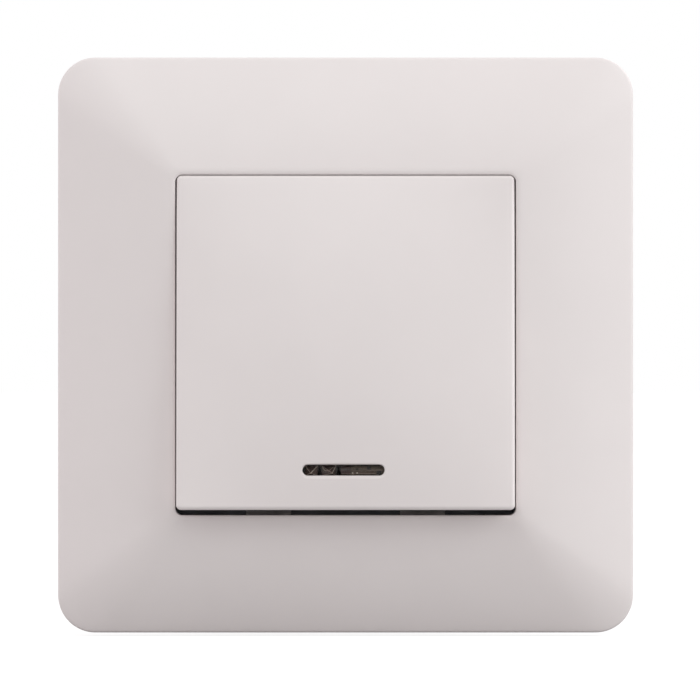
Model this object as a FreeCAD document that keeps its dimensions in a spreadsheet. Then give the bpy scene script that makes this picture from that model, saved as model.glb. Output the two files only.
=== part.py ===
import FreeCAD, Part
import math
import os

import Sketcher

# Flush push button light switch: a centre-pivoted key in a pillow-shaped cover frame, on a steel support
# plate, with the contact mechanism in a housing behind the wall.
# X is to the right, Z is up, and the wall is the plane Y = 0. Places in depth are given as heights above
# the wall, positive towards the user, so a height h lies at Y = -h. The origin is the centre of the slots
# for the wall box's screws, on the wall.

SIZES = [
    # Cover frame
    ("frame_corner", 5.3, "corner radius of the frame's outline"),
    ("frame_rise", 9.6, "height of the frame's face at the opening"),
    ("frame_fall", 5, "fall of the face from the opening to the outline"),
    ("frame_bow", 0.47, "share of that fall which comes from the curve of the face"),
    ("frame_wall", 1.8, "wall of the frame"),
    ("frame_edge", 0.5, "chamfer where the face meets the side"),
    ("face_overrun", 0.15, "share by which the face is drawn past the outline that trims it"),
    ("frame_post", 4, "side of the solid posts in the frame's corners"),
    ("opening_side", 48.6, "side of the square opening"),
    ("opening_corner", 1.1, "corner radius of the opening"),
    ("opening_edge", 0.4, "rounding of the opening's edge"),
    ("opening_land", 0.6, "flat land between the opening and the start of the frame's fall"),
    ("ridge_growth", 0.5, "growth of the ridge's radius per millimetre outwards"),
    ("collar_wall", 1.6, "wall of the collar round the opening"),
    ("collar_foot", 4, "height of the collar's lower edge"),
    ("foot_leg", 6, "leg of the collar's corner feet"),
    ("arm_wide", 4.5, "width of a hooked arm"),
    ("arm_thick", 1.4, "thickness of a hooked arm"),
    ("arm_place", 11, "distance of the arms from the middle"),
    ("hook_reach", 1, "reach of the arm's hook past the arm"),
    ("hook_deep", 1.2, "depth of the hook behind the plate"),
    # Support plate
    ("plate_gap", 4.2, "gap between the support plate and the frame's wall"),
    ("slot_rim", 1.5, "width of plate outside a slot for a wall box screw"),
    ("plate_corner", 3, "corner radius of the plate"),
    ("plate_thick", 1, "thickness of the plate"),
    ("box_screw_spacing", 60, "spacing of the wall box's screws"),
    ("box_slot_long", 7, "length of a slot for a wall box screw"),
    ("box_slot_radius", 2.1, "half width of that slot"),
    ("slot_play", 0.4, "play of the frame's arms in the plate's slots"),
    # Mechanism cover
    ("cover_overlap", 2, "reach of the cover's flange past the housing's sides"),
    ("cover_corner", 3, "corner radius of the flange"),
    ("cover_thick", 1.2, "thickness of the flange"),
    ("spigot_play", 0.3, "play of the cover's spigot in the plate's opening"),
    ("spigot_wall", 1.1, "wall of the spigot"),
    ("spigot_deep", 1.6, "depth of the spigot behind the plate"),
    ("sleeve_wall", 1.4, "wall of the plunger's sleeve"),
    ("sleeve_rise", 2.2, "rise of the sleeve above the flange"),
    ("post_side", 2.4, "side of the posts that hold the terminal blocks down"),
    # Base housing
    ("housing_chamfer", 4, "chamfer of the housing's long edges"),
    ("housing_deep", 24, "depth of the housing behind the wall"),
    ("housing_wall", 1.4, "side wall of the housing"),
    ("housing_floor", 1.6, "rear wall of the housing"),
    ("housing_ease", 0.8, "chamfer of the housing's rear edges"),
    ("cavity_play", 0.2, "play of the spigot between the housing's corners"),
    ("spigot_gap", 0.4, "gap between the spigot and the housing's upper and lower walls"),
    ("ledge_rise", 5.6, "rise of the strip ledges above the housing's floor"),
    ("seat_rise", 2.9, "rise of the terminal seats above the housing's floor"),
    ("guide_radius", 1.4, "radius of the return spring's guide pin"),
    ("guide_rise", 4.2, "rise of that pin above the housing's floor"),
    # Housing screws
    ("screw_inset", 3.7, "distance of a housing screw from the housing's sides"),
    ("screw_radius", 1.25, "radius of a housing screw's shank"),
    ("screw_play", 0.25, "play of the shank in flange and plate"),
    ("screw_bite", 0.05, "play of the shank in the housing"),
    ("screw_head_radius", 2.4, "radius of a housing screw's head"),
    ("screw_head_thick", 1.4, "thickness of that head"),
    ("screw_reach", 7.5, "reach of the screw into the housing"),
    ("screw_spare", 1, "depth of the housing's screw hole past the screw"),
    ("drive_wide", 0.8, "width of a screw's driving slot"),
    ("drive_deep", 0.7, "depth of that slot"),
    # Key
    ("key_side_gap", 0.3, "gap beside the key in the opening"),
    ("key_end_gap", 0.45, "gap above and below the level key in the opening"),
    ("key_corner", 0.7, "corner radius of the key"),
    ("key_edge", 0.5, "rounding of the key's front edge"),
    ("key_face", 1.7, "thickness of the key's face"),
    ("key_wall", 1.5, "thickness of the key's skirt"),
    ("key_deep", 6, "depth of the key from face to skirt edge"),
    ("key_over_pivot", 4.3, "height of the key's edge above the pivot"),
    ("key_crown", 2.3, "bow of the key's face at its centre, above its edge"),
    ("key_rim", 0.7, "width left of the bow along the key's edges, rounding included"),
    ("rest_tilt", 5.5, "tilt of the key at rest, in degrees"),
    ("rib_gap", 1, "gap between the key's ribs and the bearing towers"),
    ("rib_long", 36, "length of the key's ribs"),
    ("rib_thick", 1, "thickness of the key's ribs"),
    ("rib_deep", 2, "depth of the key's ribs"),
    ("clip_place", 8, "distance of the key's clips from the middle"),
    ("clip_wide", 4, "width of a clip"),
    ("clip_thick", 1.2, "thickness of a clip"),
    ("clip_nose", 0.45, "reach of the clip's nose under the cradle"),
    ("clip_play", 0.05, "play between clip and cradle"),
    ("light_long", 11.64, "length of the light window"),
    ("light_high", 1.56, "height of the light window"),
    ("light_rise", 5.58, "height of the light window above the key's lower edge"),
    ("light_shift", -0.29, "shift of the light window from the middle"),
    ("lens_play", 0.06, "play of the lens in the window"),
    ("lens_sink", 0.2, "depth of the lens below the key's face"),
    ("lens_lip", 1, "width of the lens's lip behind the key's face"),
    ("lens_lip_thick", 0.7, "thickness of that lip"),
    ("prism_pitch", 1.2, "pitch of the prisms behind the lens"),
    ("prism_deep", 0.5, "depth of the prisms"),
    # Cradle
    ("cradle_wide", 28.4, "width of the cradle"),
    ("cradle_high", 28, "height of the cradle"),
    ("cradle_thick", 1.2, "thickness of the cradle's plate"),
    ("cheek_thick", 1.6, "thickness of the cradle's cheeks"),
    ("cheek_round", 2.6, "radius of the cheeks round the trunnions"),
    ("trunnion_radius", 1.5, "radius of the trunnions"),
    ("trunnion_play", 0.05, "running play of the trunnions"),
    ("tower_gap", 0.4, "gap between cheek and bearing tower"),
    ("tower_thick", 2.4, "thickness of a bearing tower"),
    ("tower_deep", 6.4, "width of a tower along the wall"),
    ("tower_lip", 1.6, "height of the tower above the pivot"),
    ("tower_entry", 2.4, "width of the bearing's snap entry"),
    ("foot_place", 10.4, "distance of the cradle's foot below the pivot line"),
    ("foot_wide", 6, "width of the foot"),
    ("foot_round", 1.2, "radius of the foot's tip"),
    ("foot_drop", 0.4, "drop of the tip's centre below the pivot"),
    ("stop_place", 11, "distance of the rest stop above the pivot line"),
    ("stop_wide", 4, "width of the rest stop's leg"),
    ("stop_round", 1, "radius of that leg's tip"),
    ("stop_drop", 1.6, "drop of that tip's centre below the pivot"),
    ("touch_gap", 0.15, "gap left between parts that press on each other"),
    # Plunger and contacts
    ("plunger_radius", 2.4, "radius of the plunger's stem"),
    ("plunger_play", 0.1, "play of the stem in its sleeve"),
    ("flange_radius", 4.2, "radius of the plunger's flange"),
    ("flange_thick", 1.2, "thickness of that flange"),
    ("cage_wide", 7, "width of the plunger's cage"),
    ("cage_high", 8, "height of the cage, across the bridge"),
    ("cage_foot", 1.4, "thickness of the bar under the cage's window"),
    ("cage_window", 7, "depth of the cage's window"),
    ("bridge_rim", 0.8, "length of the contact bridge past a contact"),
    ("bridge_wide", 3.8, "width of the contact bridge"),
    ("bridge_thick", 0.6, "thickness of the contact bridge"),
    ("bridge_play", 0.2, "play of the bridge in the cage's window"),
    ("contact_place", 6, "distance of the contacts from the middle"),
    ("contact_radius", 1.5, "radius of a contact"),
    ("moving_rise", 0.55, "thickness of a moving contact"),
    ("fixed_rise", 0.8, "thickness of a fixed contact"),
    ("bridge_corner", 0.8, "corner radius of the contact bridge"),
    ("contact_play", 0.06, "gap left between closed contacts"),
    ("return_coil", 2.35, "mean radius of the return spring"),
    ("return_wire", 0.25, "wire radius of the return spring"),
    ("return_turns", 3.5, "turns of the return spring"),
    ("bridge_coil", 1.5, "mean radius of the bridge spring"),
    ("bridge_wire", 0.18, "wire radius of the bridge spring"),
    ("bridge_turns", 3, "turns of the bridge spring"),
    # Terminals and strips
    ("terminal_place", 9.2, "distance of a terminal from the middle"),
    ("block_wide", 8, "width of a terminal block"),
    ("block_high", 8.8, "height of a terminal block"),
    ("block_deep", 8.5, "depth of a terminal block"),
    ("block_gap", 0.4, "gap between a terminal block and the housing's corner"),
    ("block_drop", 1.3, "gap above a terminal block"),
    ("wire_radius", 1.6, "radius of the wire bore"),
    ("wire_rise", 3.5, "height of the wire bore above the block's lower face"),
    ("wire_funnel", 2.4, "radius of the housing's holes for wire and driver"),
    ("terminal_screw_radius", 1.7, "radius of a terminal screw"),
    ("terminal_screw_play", 0.05, "play of the terminal screw"),
    ("terminal_screw_place", 2.2, "distance of that screw behind the block's front"),
    ("terminal_head_radius", 2.1, "radius of a terminal screw's head"),
    ("terminal_head_thick", 1.6, "thickness of that head"),
    ("terminal_lift", 0.3, "lift of the open screw's tip above the wire bore"),
    ("terminal_head_gap", 0.4, "gap under the open screw's head"),
    ("strip_wide", 4, "width of a contact strip"),
    ("strip_thick", 0.8, "thickness of a contact strip"),
    ("strip_tail", 1.6, "length of the strip past the lamp's lead"),
    ("strip_gap", 0.5, "gap between a strip's end and the housing's wall"),
    ("strip_foot", 4.5, "length of the strip's foot under the block"),
    # Lamp
    ("lamp_offset", 1.27, "distance of the lamp from the light window, towards the pivot"),
    ("lamp_rise", 5.2, "height of the lamp's axis"),
    ("lamp_radius", 1.5, "radius of the lamp's glass"),
    ("lamp_long", 10, "length of the lamp's glass"),
    ("lamp_end", 0.75, "chamfer of the lamp's ends"),
    ("lead_radius", 0.35, "radius of the lamp's leads"),
    ("lead_inset", 0.6, "distance of a lead from the strip's outer edge"),
    ("lead_bend", 1, "radius of the leads' bend"),
    ("lead_play", 0.15, "play of the leads in their holes"),
    ("holder_rim", 1.3, "length of the lamp holder past a lead"),
    ("holder_high", 4.4, "height of the lamp holder"),
    ("holder_thick", 1.2, "thickness of the lamp holder's base"),
    ("holder_post", 1.6, "thickness of the lamp holder's posts"),
    ("holder_play", 0.05, "play of the lamp in its holder"),
    ("resistor_radius", 1.15, "radius of the resistor"),
    ("resistor_long", 5, "length of the resistor"),
    ("resistor_play", 0.02, "play of the lead in the resistor"),
    ("resistor_place", 4, "depth of the resistor's front end behind the wall"),
    # Claws
    ("claw_gap", 0.9, "gap between a claw and the housing"),
    ("claw_drop", 8, "distance of the claws below the middle"),
    ("claw_wide", 6.5, "width of a claw"),
    ("claw_thick", 1.2, "thickness of a claw"),
    ("claw_inner", 4.2, "reach of a claw inwards from its screw"),
    ("claw_outer", 1.9, "reach of a claw outwards from its screw"),
    ("claw_start", 1.4, "depth of the claw's front lug behind the wall"),
    ("claw_long", 19.6, "length of a claw"),
    ("tooth_deep", 0.8, "depth of the notches between the claw's teeth"),
    ("claw_screw_radius", 1.4, "radius of a claw screw"),
    ("claw_screw_play", 0.05, "play of a claw screw in its claw"),
    ("claw_screw_tail", 1.4, "length of the claw screw past its claw"),
    ("claw_seat", 2.1, "radius of the plate's hole that seats the screw's round head"),
    ("claw_head_radius", 2.6, "radius of the claw screw's round head"),
    ("claw_head_rim", 0.7, "height of the head above its widest place"),
]


class Length:
    """A size with the expression that gives it from the sheet."""

    def __init__(self, value, text):
        self.value = value
        self.text = text

    def combine(self, other, sign, value):
        return Length(value, "(%s %s %s)" % (self.text, sign, other.text))

    def __add__(self, other):
        other = length(other)
        return self.combine(other, "+", self.value + other.value)

    def __sub__(self, other):
        other = length(other)
        return self.combine(other, "-", self.value - other.value)

    def __mul__(self, other):
        other = length(other)
        return self.combine(other, "*", self.value * other.value)

    def __truediv__(self, other):
        other = length(other)
        return self.combine(other, "/", self.value / other.value)

    def __neg__(self):
        return Length(-self.value, "(0 - %s)" % self.text)

    __radd__ = __add__
    __rmul__ = __mul__

    def __rsub__(self, other):
        return length(other) - self


def length(number):
    """A plain number as a length; a length stays as it is."""
    return number if isinstance(number, Length) else Length(number, repr(float(number)))


def sine(angle):
    return Length(math.sin(math.radians(angle.value)), "sin(%s * 1 deg)" % angle.text)


def cosine(angle):
    return Length(math.cos(math.radians(angle.value)), "cos(%s * 1 deg)" % angle.text)


def root(square):
    return Length(math.sqrt(square.value), "sqrt(%s)" % square.text)


class Sheet:
    """The driving sizes as lengths, one attribute each."""

    def __init__(self, document):
        sheet = document.addObject("Spreadsheet::Sheet", "Sizes")
        for row, (name, value, note) in enumerate(SIZES, start=1):
            sheet.set("A%d" % row, name)
            sheet.set("B%d" % row, str(value))
            sheet.set("C%d" % row, note)
            sheet.setAlias("B%d" % row, name)
            setattr(self, name, Length(value, "Sizes." + name))
        document.recompute()


document = FreeCAD.newDocument("PushButtonSwitch")
s = Sheet(document)

# Places that several pieces share

opening_half = s.opening_side / 2
face_start = opening_half + s.opening_land
plate_half = s.box_screw_spacing / 2 + s.box_slot_long / 2 + s.slot_rim
frame_half = plate_half + s.plate_gap + s.frame_wall
face_reach = frame_half - face_start
key_half_wide = opening_half - s.key_side_gap
key_half_high = opening_half - s.key_end_gap
pivot_height = s.frame_rise - s.key_over_pivot * cosine(s.rest_tilt) + key_half_high * sine(s.rest_tilt)
key_inside = s.key_over_pivot - s.key_face
light_drop = key_half_high - s.light_rise
lamp_place = light_drop - s.lamp_offset

housing_inner = lamp_place + s.strip_tail + s.strip_gap
housing_half = housing_inner + s.housing_wall
cavity_arm = s.terminal_place + s.block_wide / 2 + s.block_gap
spigot_half_wide = cavity_arm - s.cavity_play
spigot_half_high = housing_inner - s.spigot_gap
screw_place = housing_half - s.screw_inset
flange_top = s.plate_thick + s.cover_thick
housing_floor_height = s.housing_floor - s.housing_deep
seat_height = housing_floor_height + s.seat_rise
ledge_height = housing_floor_height + s.ledge_rise

cradle_half = s.cradle_wide / 2
tower_inner = cradle_half + s.tower_gap
tower_outer = tower_inner + s.tower_thick
cradle_back = key_inside - s.cradle_thick
foot_swing = s.foot_place * sine(s.rest_tilt)
foot_tip = pivot_height - s.foot_drop * cosine(s.rest_tilt) + foot_swing - s.foot_round
stop_swing = s.stop_place * sine(s.rest_tilt)
stop_tip = pivot_height - s.stop_drop * cosine(s.rest_tilt) - stop_swing - s.stop_round
plunger_travel = foot_swing * 2

strip_front = ledge_height + s.strip_thick
fixed_tip = strip_front + s.fixed_rise
moving_tip = fixed_tip + plunger_travel + s.contact_play
bridge_back = moving_tip + s.moving_rise
bridge_front = bridge_back + s.bridge_thick
cage_back = bridge_back - s.cage_foot
cage_window_front = bridge_back + s.cage_window
sleeve_back = -s.spigot_deep
plunger_flange_front = sleeve_back - s.touch_gap
plunger_flange_back = plunger_flange_front - s.flange_thick

block_back = seat_height
block_front = seat_height + s.block_deep
block_top = housing_inner - s.block_drop
block_foot = block_top - s.block_high
wire_height = block_foot + s.wire_rise
strip_inner = s.contact_place - s.strip_wide / 2
strip_outer = s.contact_place + s.strip_wide / 2
lead_place = strip_outer - s.lead_inset
terminal_screw_height = block_front - s.terminal_screw_place

collar_outer = opening_half + s.collar_wall
arm_inner = collar_outer - s.arm_thick
claw_ball = s.claw_head_radius * s.claw_head_radius
claw_seat_rise = root(claw_ball - s.claw_seat * s.claw_seat)
claw_pivot_height = s.plate_thick + claw_seat_rise
claw_place = housing_half + s.claw_gap + s.claw_inner

SIDES = (("left", -1), ("right", 1))
BOTH = (-1, 1)
FACE_BANDS = 4
WIRE_SIDES = 6
BUTTON_SIDES = 12
CLAW_NOTCHES = 3


# Outlines: each gives a function that draws one closed line in a sketch

def pin(sketch, kind, geometry, point, value):
    """Hold a point's place, or a radius, at a length from the sheet."""
    if kind == "Radius":
        number = sketch.addConstraint(Sketcher.Constraint(kind, geometry, value.value))
    else:
        number = sketch.addConstraint(Sketcher.Constraint(kind, geometry, point, value.value))
    sketch.setExpression("Constraints[%d]" % number, value.text)


def join(sketch, first, second):
    sketch.addConstraint(Sketcher.Constraint("Coincident", first, 2, second, 1))


def vector(across, up):
    return FreeCAD.Vector(across.value, up.value, 0)


def polygon(*corners):
    def draw(sketch, local):
        points = [local(length(a), length(b)) for a, b in corners]
        first = sketch.GeometryCount
        for start, end in zip(points, points[1:] + points[:1]):
            sketch.addGeometry(Part.LineSegment(vector(*start), vector(*end)))
        for index, (across, up) in enumerate(points):
            join(sketch, first + index, first + (index + 1) % len(points))
            pin(sketch, "DistanceX", first + index, 1, across)
            pin(sketch, "DistanceY", first + index, 1, up)
    return draw


def rectangle(left, right, low, high):
    return polygon((left, low), (right, low), (right, high), (left, high))


def circle(across, up, radius):
    def draw(sketch, local):
        centre = local(length(across), length(up))
        index = sketch.addGeometry(Part.Circle(vector(*centre), FreeCAD.Vector(0, 0, 1), radius.value))
        pin(sketch, "DistanceX", index, 3, centre[0])
        pin(sketch, "DistanceY", index, 3, centre[1])
        pin(sketch, "Radius", index, None, radius)
    return draw


def many_sided(across, up, radius, sides):
    """A small round section, drawn with straight sides."""
    turns = [length(360 / sides * (side + 0.5)) for side in range(sides)]
    return polygon(*[(across + radius * cosine(turn), up + radius * sine(turn)) for turn in turns])


def quarter(sketch, across, up, radius, turn):
    """A quarter arc whose start points along turn times 90 degrees, held by its centre and radius."""
    start = math.radians(90 * turn)
    whole = Part.Circle(vector(across, up), FreeCAD.Vector(0, 0, 1), radius.value)
    index = sketch.addGeometry(Part.ArcOfCircle(whole, start, start + math.pi / 2))
    pin(sketch, "DistanceX", index, 3, across)
    pin(sketch, "DistanceY", index, 3, up)
    pin(sketch, "Radius", index, None, radius)
    level, upright = (1, 2) if turn % 2 == 0 else (2, 1)
    pin(sketch, "DistanceY", index, level, up)
    pin(sketch, "DistanceX", index, upright, across)
    return index


def rounded(across, up, half_wide, half_high, radius):
    """A rectangle with round corners, about its centre, on a plane along the wall."""
    def draw(sketch, local):
        x, z = length(across), length(up)
        inner_wide = half_wide - radius
        inner_high = half_high - radius
        arcs = [
            quarter(sketch, x + inner_wide, z + inner_high, radius, 0),
            quarter(sketch, x - inner_wide, z + inner_high, radius, 1),
            quarter(sketch, x - inner_wide, z - inner_high, radius, 2),
            quarter(sketch, x + inner_wide, z - inner_high, radius, 3),
        ]
        for one, next_one in zip(arcs, arcs[1:] + arcs[:1]):
            line = sketch.addGeometry(Part.LineSegment(
                sketch.Geometry[one].EndPoint, sketch.Geometry[next_one].StartPoint))
            join(sketch, one, line)
            join(sketch, line, next_one)
    return draw


def slot(across, up, half_long, radius, upright=False):
    """A slot with full round ends, half_long from its centre to the end."""
    def draw(sketch, local):
        x, z = length(across), length(up)
        reach = half_long - radius
        ends = []
        for sign in (1, -1):
            end_x = x if upright else x + reach * sign
            end_z = z + reach * sign if upright else z
            start = (0 if upright else -90) + (0 if sign == 1 else 180)
            whole = Part.Circle(vector(end_x, end_z), FreeCAD.Vector(0, 0, 1), radius.value)
            arc = Part.ArcOfCircle(whole, math.radians(start), math.radians(start + 180))
            index = sketch.addGeometry(arc)
            pin(sketch, "DistanceX", index, 3, end_x)
            pin(sketch, "DistanceY", index, 3, end_z)
            pin(sketch, "Radius", index, None, radius)
            for point in (1, 2):
                if upright:
                    pin(sketch, "DistanceY", index, point, end_z)
                else:
                    pin(sketch, "DistanceX", index, point, end_x)
            ends.append(index)
        for one, other in (ends, ends[::-1]):
            line = sketch.addGeometry(Part.LineSegment(
                sketch.Geometry[one].EndPoint, sketch.Geometry[other].StartPoint))
            join(sketch, one, line)
            join(sketch, line, other)
    return draw


# Planes: along the wall (x, z), level (x, h) and upright across the wall (h, z)

PLANES = {
    "front": ("XZ_Plane", lambda a, b: (a, b)),
    "level": ("XY_Plane", lambda a, b: (a, -b)),
    "side": ("YZ_Plane", lambda a, b: (-a, b)),
}


def bowed(back, front, half_high, rise):
    """A section from back to front whose front line bows out by the rise at its middle."""
    def draw(sketch, local):
        corners = [(front, -half_high), (back, -half_high), (back, half_high), (front, half_high)]
        points = [local(length(a), length(b)) for a, b in corners]
        first = sketch.GeometryCount
        last = first + 2
        for start, end in zip(points, points[1:]):
            line = sketch.addGeometry(Part.LineSegment(vector(*start), vector(*end)))
            pin(sketch, "DistanceX", line, 1, start[0])
            pin(sketch, "DistanceY", line, 1, start[1])
        join(sketch, first, first + 1)
        join(sketch, first + 1, last)
        pin(sketch, "DistanceX", last, 2, points[-1][0])
        pin(sketch, "DistanceY", last, 2, points[-1][1])
        top = vector(*local(length(front + rise), length(0)))
        bow = sketch.addGeometry(Part.Arc(vector(*points[-1]), top, vector(*points[0])))
        starts_last = sketch.Geometry[bow].StartPoint.isEqual(vector(*points[-1]), 0.001)
        ends = (1, 2) if starts_last else (2, 1)
        sketch.addConstraint(Sketcher.Constraint("Coincident", last, 2, bow, ends[0]))
        sketch.addConstraint(Sketcher.Constraint("Coincident", first, 1, bow, ends[1]))
        pin(sketch, "Radius", bow, None, (half_high * half_high + rise * rise) / (rise * 2))
    return draw


class Piece:
    """One piece of the switch: a body with its sketches and features."""

    def __init__(self, name, place=None, tilt=None):
        self.body = document.addObject("PartDesign::Body", name)
        self.body.Label = name
        if tilt is not None:
            turn = FreeCAD.Rotation(FreeCAD.Vector(1, 0, 0), tilt.value)
            self.body.Placement = FreeCAD.Placement(FreeCAD.Vector(0, 0, 0), turn)
            self.body.setExpression("Placement.Rotation.Angle", tilt.text)
        for axis, value in zip("xyz", place or ()):
            self.body.setExpression("Placement.Base." + axis, length(value).text)

    def sketch(self, plane, offset, *outlines):
        role, local = PLANES[plane]
        sketch = self.body.newObject("Sketcher::SketchObject", self.body.Label + "_" + plane)
        origin_plane = next(part for part in self.body.Origin.OriginFeatures if part.Role == role)
        sketch.AttachmentSupport = [(origin_plane, "")]
        sketch.MapMode = "FlatFace"
        sketch.setExpression("AttachmentOffset.Base.z", length(offset).text)
        for outline in outlines:
            outline(sketch, local)
        return sketch

    def feature(self, kind, sketch):
        made = self.body.newObject("PartDesign::" + kind, self.body.Label + "_" + kind)
        made.Profile = sketch
        self.body.Tip = made
        return made

    def add(self, plane, start, end, *outlines):
        """Add the outlines, drawn out from start to end along the plane's normal."""
        start, end = sorted((length(start), length(end)), key=lambda place: place.value)
        pad = self.feature("Pad", self.sketch(plane, start, *outlines))
        pad.setExpression("Length", (end - start).text)
        return pad

    def cut(self, plane, start, end, *outlines):
        """Take the outlines away, from start to end along the plane's normal."""
        start, end = sorted((length(start), length(end)), key=lambda place: place.value)
        pocket = self.feature("Pocket", self.sketch(plane, end, *outlines))
        pocket.setExpression("Length", (end - start).text)
        return pocket

    def loft(self, plane, sections):
        """A loft through (place, outline) pairs along the plane's normal."""
        sketches = [self.sketch(plane, place, outline) for place, outline in sections]
        loft = self.feature("AdditiveLoft", sketches[0])
        loft.Sections = sketches[1:]
        return loft

    def cut_wedge(self, back, back_half, front, front_half):
        """Take away a form with four flat sides, between half sizes across and up at two heights."""
        wedge = self.body.newObject("PartDesign::SubtractiveWedge", self.body.Label + "_wedge")
        places = {"Ymin": -front, "Ymax": -back}
        for axis, front_size, back_size in zip("XZ", front_half, back_half):
            places[axis + "min"] = -front_size
            places[axis + "max"] = front_size
            places[axis + "2min"] = -back_size
            places[axis + "2max"] = back_size
        for name, place in places.items():
            wedge.setExpression(name, place.text)
        self.body.Tip = wedge
        return wedge

    def turn(self, plane, outline):
        """A form turned about the sketch's upright axis."""
        turned = self.feature("Revolution", self.sketch(plane, 0, outline))
        turned.ReferenceAxis = (turned.Profile[0], ["V_Axis"])
        turned.Angle = 360
        return turned

    def ease(self, kind, size, chosen):
        """Round or chamfer the edges of the last feature that chosen picks."""
        document.recompute()
        base = self.body.Tip
        edges = enumerate(base.Shape.Edges, start=1)
        names = ["Edge%d" % number for number, edge in edges if chosen(edge)]
        eased = self.body.newObject("PartDesign::" + kind, self.body.Label + "_" + kind)
        eased.Base = (base, names)
        eased.setExpression("Radius" if kind == "Fillet" else "Size", size.text)
        self.body.Tip = eased
        return eased


def near(first, second, slack=0.001):
    return abs(first - second) < slack


def at_height(height):
    """Edges that lie wholly at one height above the wall."""
    def chosen(edge):
        box = edge.BoundBox
        return near(box.YMin, -height.value) and near(box.YMax, -height.value)
    return chosen


# Cover frame

def face_height(share):
    """Height of the frame's face at a share of the way from opening to outline."""
    fall = s.frame_fall * ((1 - s.frame_bow) * share + s.frame_bow * share * share)
    return s.frame_rise - fall


def face_section(share):
    """The face's outline there: a square whose corner radius grows outwards, which makes soft ridges."""
    half = face_start + face_reach * share
    return rounded(0, 0, half, half, s.opening_corner + s.ridge_growth * face_reach * share)


def opening_rim(edge):
    """Edges of the opening where it meets the frame's face."""
    box = edge.BoundBox
    reach = max(abs(box.XMin), abs(box.XMax), abs(box.ZMin), abs(box.ZMax))
    return at_height(s.frame_rise)(edge) and near(reach, opening_half.value)


def on_outline(edge):
    """Edges round the frame where its face meets its side."""
    half = frame_half.value
    middle = edge.valueAt((edge.FirstParameter + edge.LastParameter) / 2)
    across = sorted((abs(middle.x), abs(middle.z)))
    flat = near(across[1], half)
    corner_centre = half - s.frame_corner.value
    corner_reach = math.hypot(across[0] - corner_centre, across[1] - corner_centre)
    round_part = across[0] > corner_centre and near(corner_reach, s.frame_corner.value)
    crosswise = near(edge.BoundBox.XLength, 0) and near(edge.BoundBox.ZLength, 0)
    off_wall = -edge.BoundBox.YMax > s.frame_edge.value
    return (flat or round_part) and not crosswise and off_wall


def make_cover_frame():
    frame = Piece("cover_frame")
    beyond = s.face_overrun + 1
    shares = [beyond * band / FACE_BANDS for band in range(FACE_BANDS + 1)]
    frame.loft("front", [(face_height(share), face_section(share)) for share in shares])
    frame.add("front", 0, face_height(beyond), face_section(beyond))
    outside = frame_half * 2
    frame.cut("front", 0, s.frame_rise,
              rectangle(-outside, outside, -outside, outside),
              rounded(0, 0, frame_half, frame_half, s.frame_corner))
    frame.ease("Chamfer", s.frame_edge, on_outline)

    inner = frame_half - s.frame_wall
    post = inner - s.frame_post
    shoulder = face_height((inner - face_start) / face_reach) - s.frame_wall
    frame.cut("front", 0, shoulder, polygon(
        (-post, -inner), (post, -inner), (post, -post), (inner, -post), (inner, post), (post, post),
        (post, inner), (-post, inner), (-post, post), (-inner, post), (-inner, -post), (-post, -post)))
    ceiling = s.frame_rise - s.frame_wall
    narrow = face_start - s.frame_post
    frame.cut_wedge(shoulder, (inner, post), ceiling, (face_start, narrow))
    frame.cut_wedge(shoulder, (post, inner), ceiling, (narrow, face_start))
    collar_corner = s.opening_corner + s.collar_wall / 2
    frame.add("front", s.collar_foot, s.frame_rise - s.frame_wall / 2,
              rounded(0, 0, collar_outer, collar_outer, collar_corner))
    frame.cut("front", 0, s.frame_rise, rounded(0, 0, opening_half, opening_half, s.opening_corner))
    frame.ease("Chamfer", s.opening_edge, opening_rim)

    leg_end = collar_outer - s.foot_leg
    for side in BOTH:
        for end in BOTH:
            corner = [(leg_end, opening_half), (opening_half, opening_half), (opening_half, leg_end),
                      (collar_outer, leg_end), (collar_outer, collar_outer), (leg_end, collar_outer)]
            frame.add("front", s.plate_thick, s.collar_foot + s.collar_wall,
                      polygon(*[(x * side, z * end) for x, z in corner]))
            near_edge = (s.arm_place - s.arm_wide / 2) * side
            far_edge = (s.arm_place + s.arm_wide / 2) * side
            frame.add("front", -s.hook_deep, s.collar_foot + s.collar_wall,
                      rectangle(near_edge, far_edge, arm_inner * end, collar_outer * end))
            frame.add("side", near_edge, far_edge,
                      polygon((0, collar_outer * end), (0, (collar_outer + s.hook_reach) * end),
                              (-s.hook_deep, collar_outer * end)))


# Support plate

def make_support_plate():
    plate = Piece("support_plate")
    plate.add("front", 0, s.plate_thick, rounded(0, 0, plate_half, plate_half, s.plate_corner))
    spacing = s.box_screw_spacing / 2
    half_slot = s.box_slot_long / 2
    half_wide = spigot_half_wide + s.spigot_play
    half_high = spigot_half_high + s.spigot_play
    screw_hole = s.screw_radius + s.screw_play
    openings = [rectangle(-half_wide, half_wide, -half_high, half_high)]
    for sign in BOTH:
        openings.append(slot(spacing * sign, 0, half_slot, s.box_slot_radius))
        openings.append(slot(0, spacing * sign, half_slot, s.box_slot_radius, upright=True))
        openings.append(circle(claw_place * sign, -s.claw_drop, s.claw_seat))
        for end in BOTH:
            openings.append(many_sided(screw_place * sign, screw_place * end, screw_hole, BUTTON_SIDES))
            near_edge = (s.arm_place - s.arm_wide / 2 - s.slot_play) * sign
            far_edge = (s.arm_place + s.arm_wide / 2 + s.slot_play) * sign
            openings.append(rectangle(near_edge, far_edge,
                                      (arm_inner - s.slot_play) * end, (collar_outer + s.slot_play) * end))
    plate.cut("front", 0, s.plate_thick, *openings)


# Mechanism cover

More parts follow.
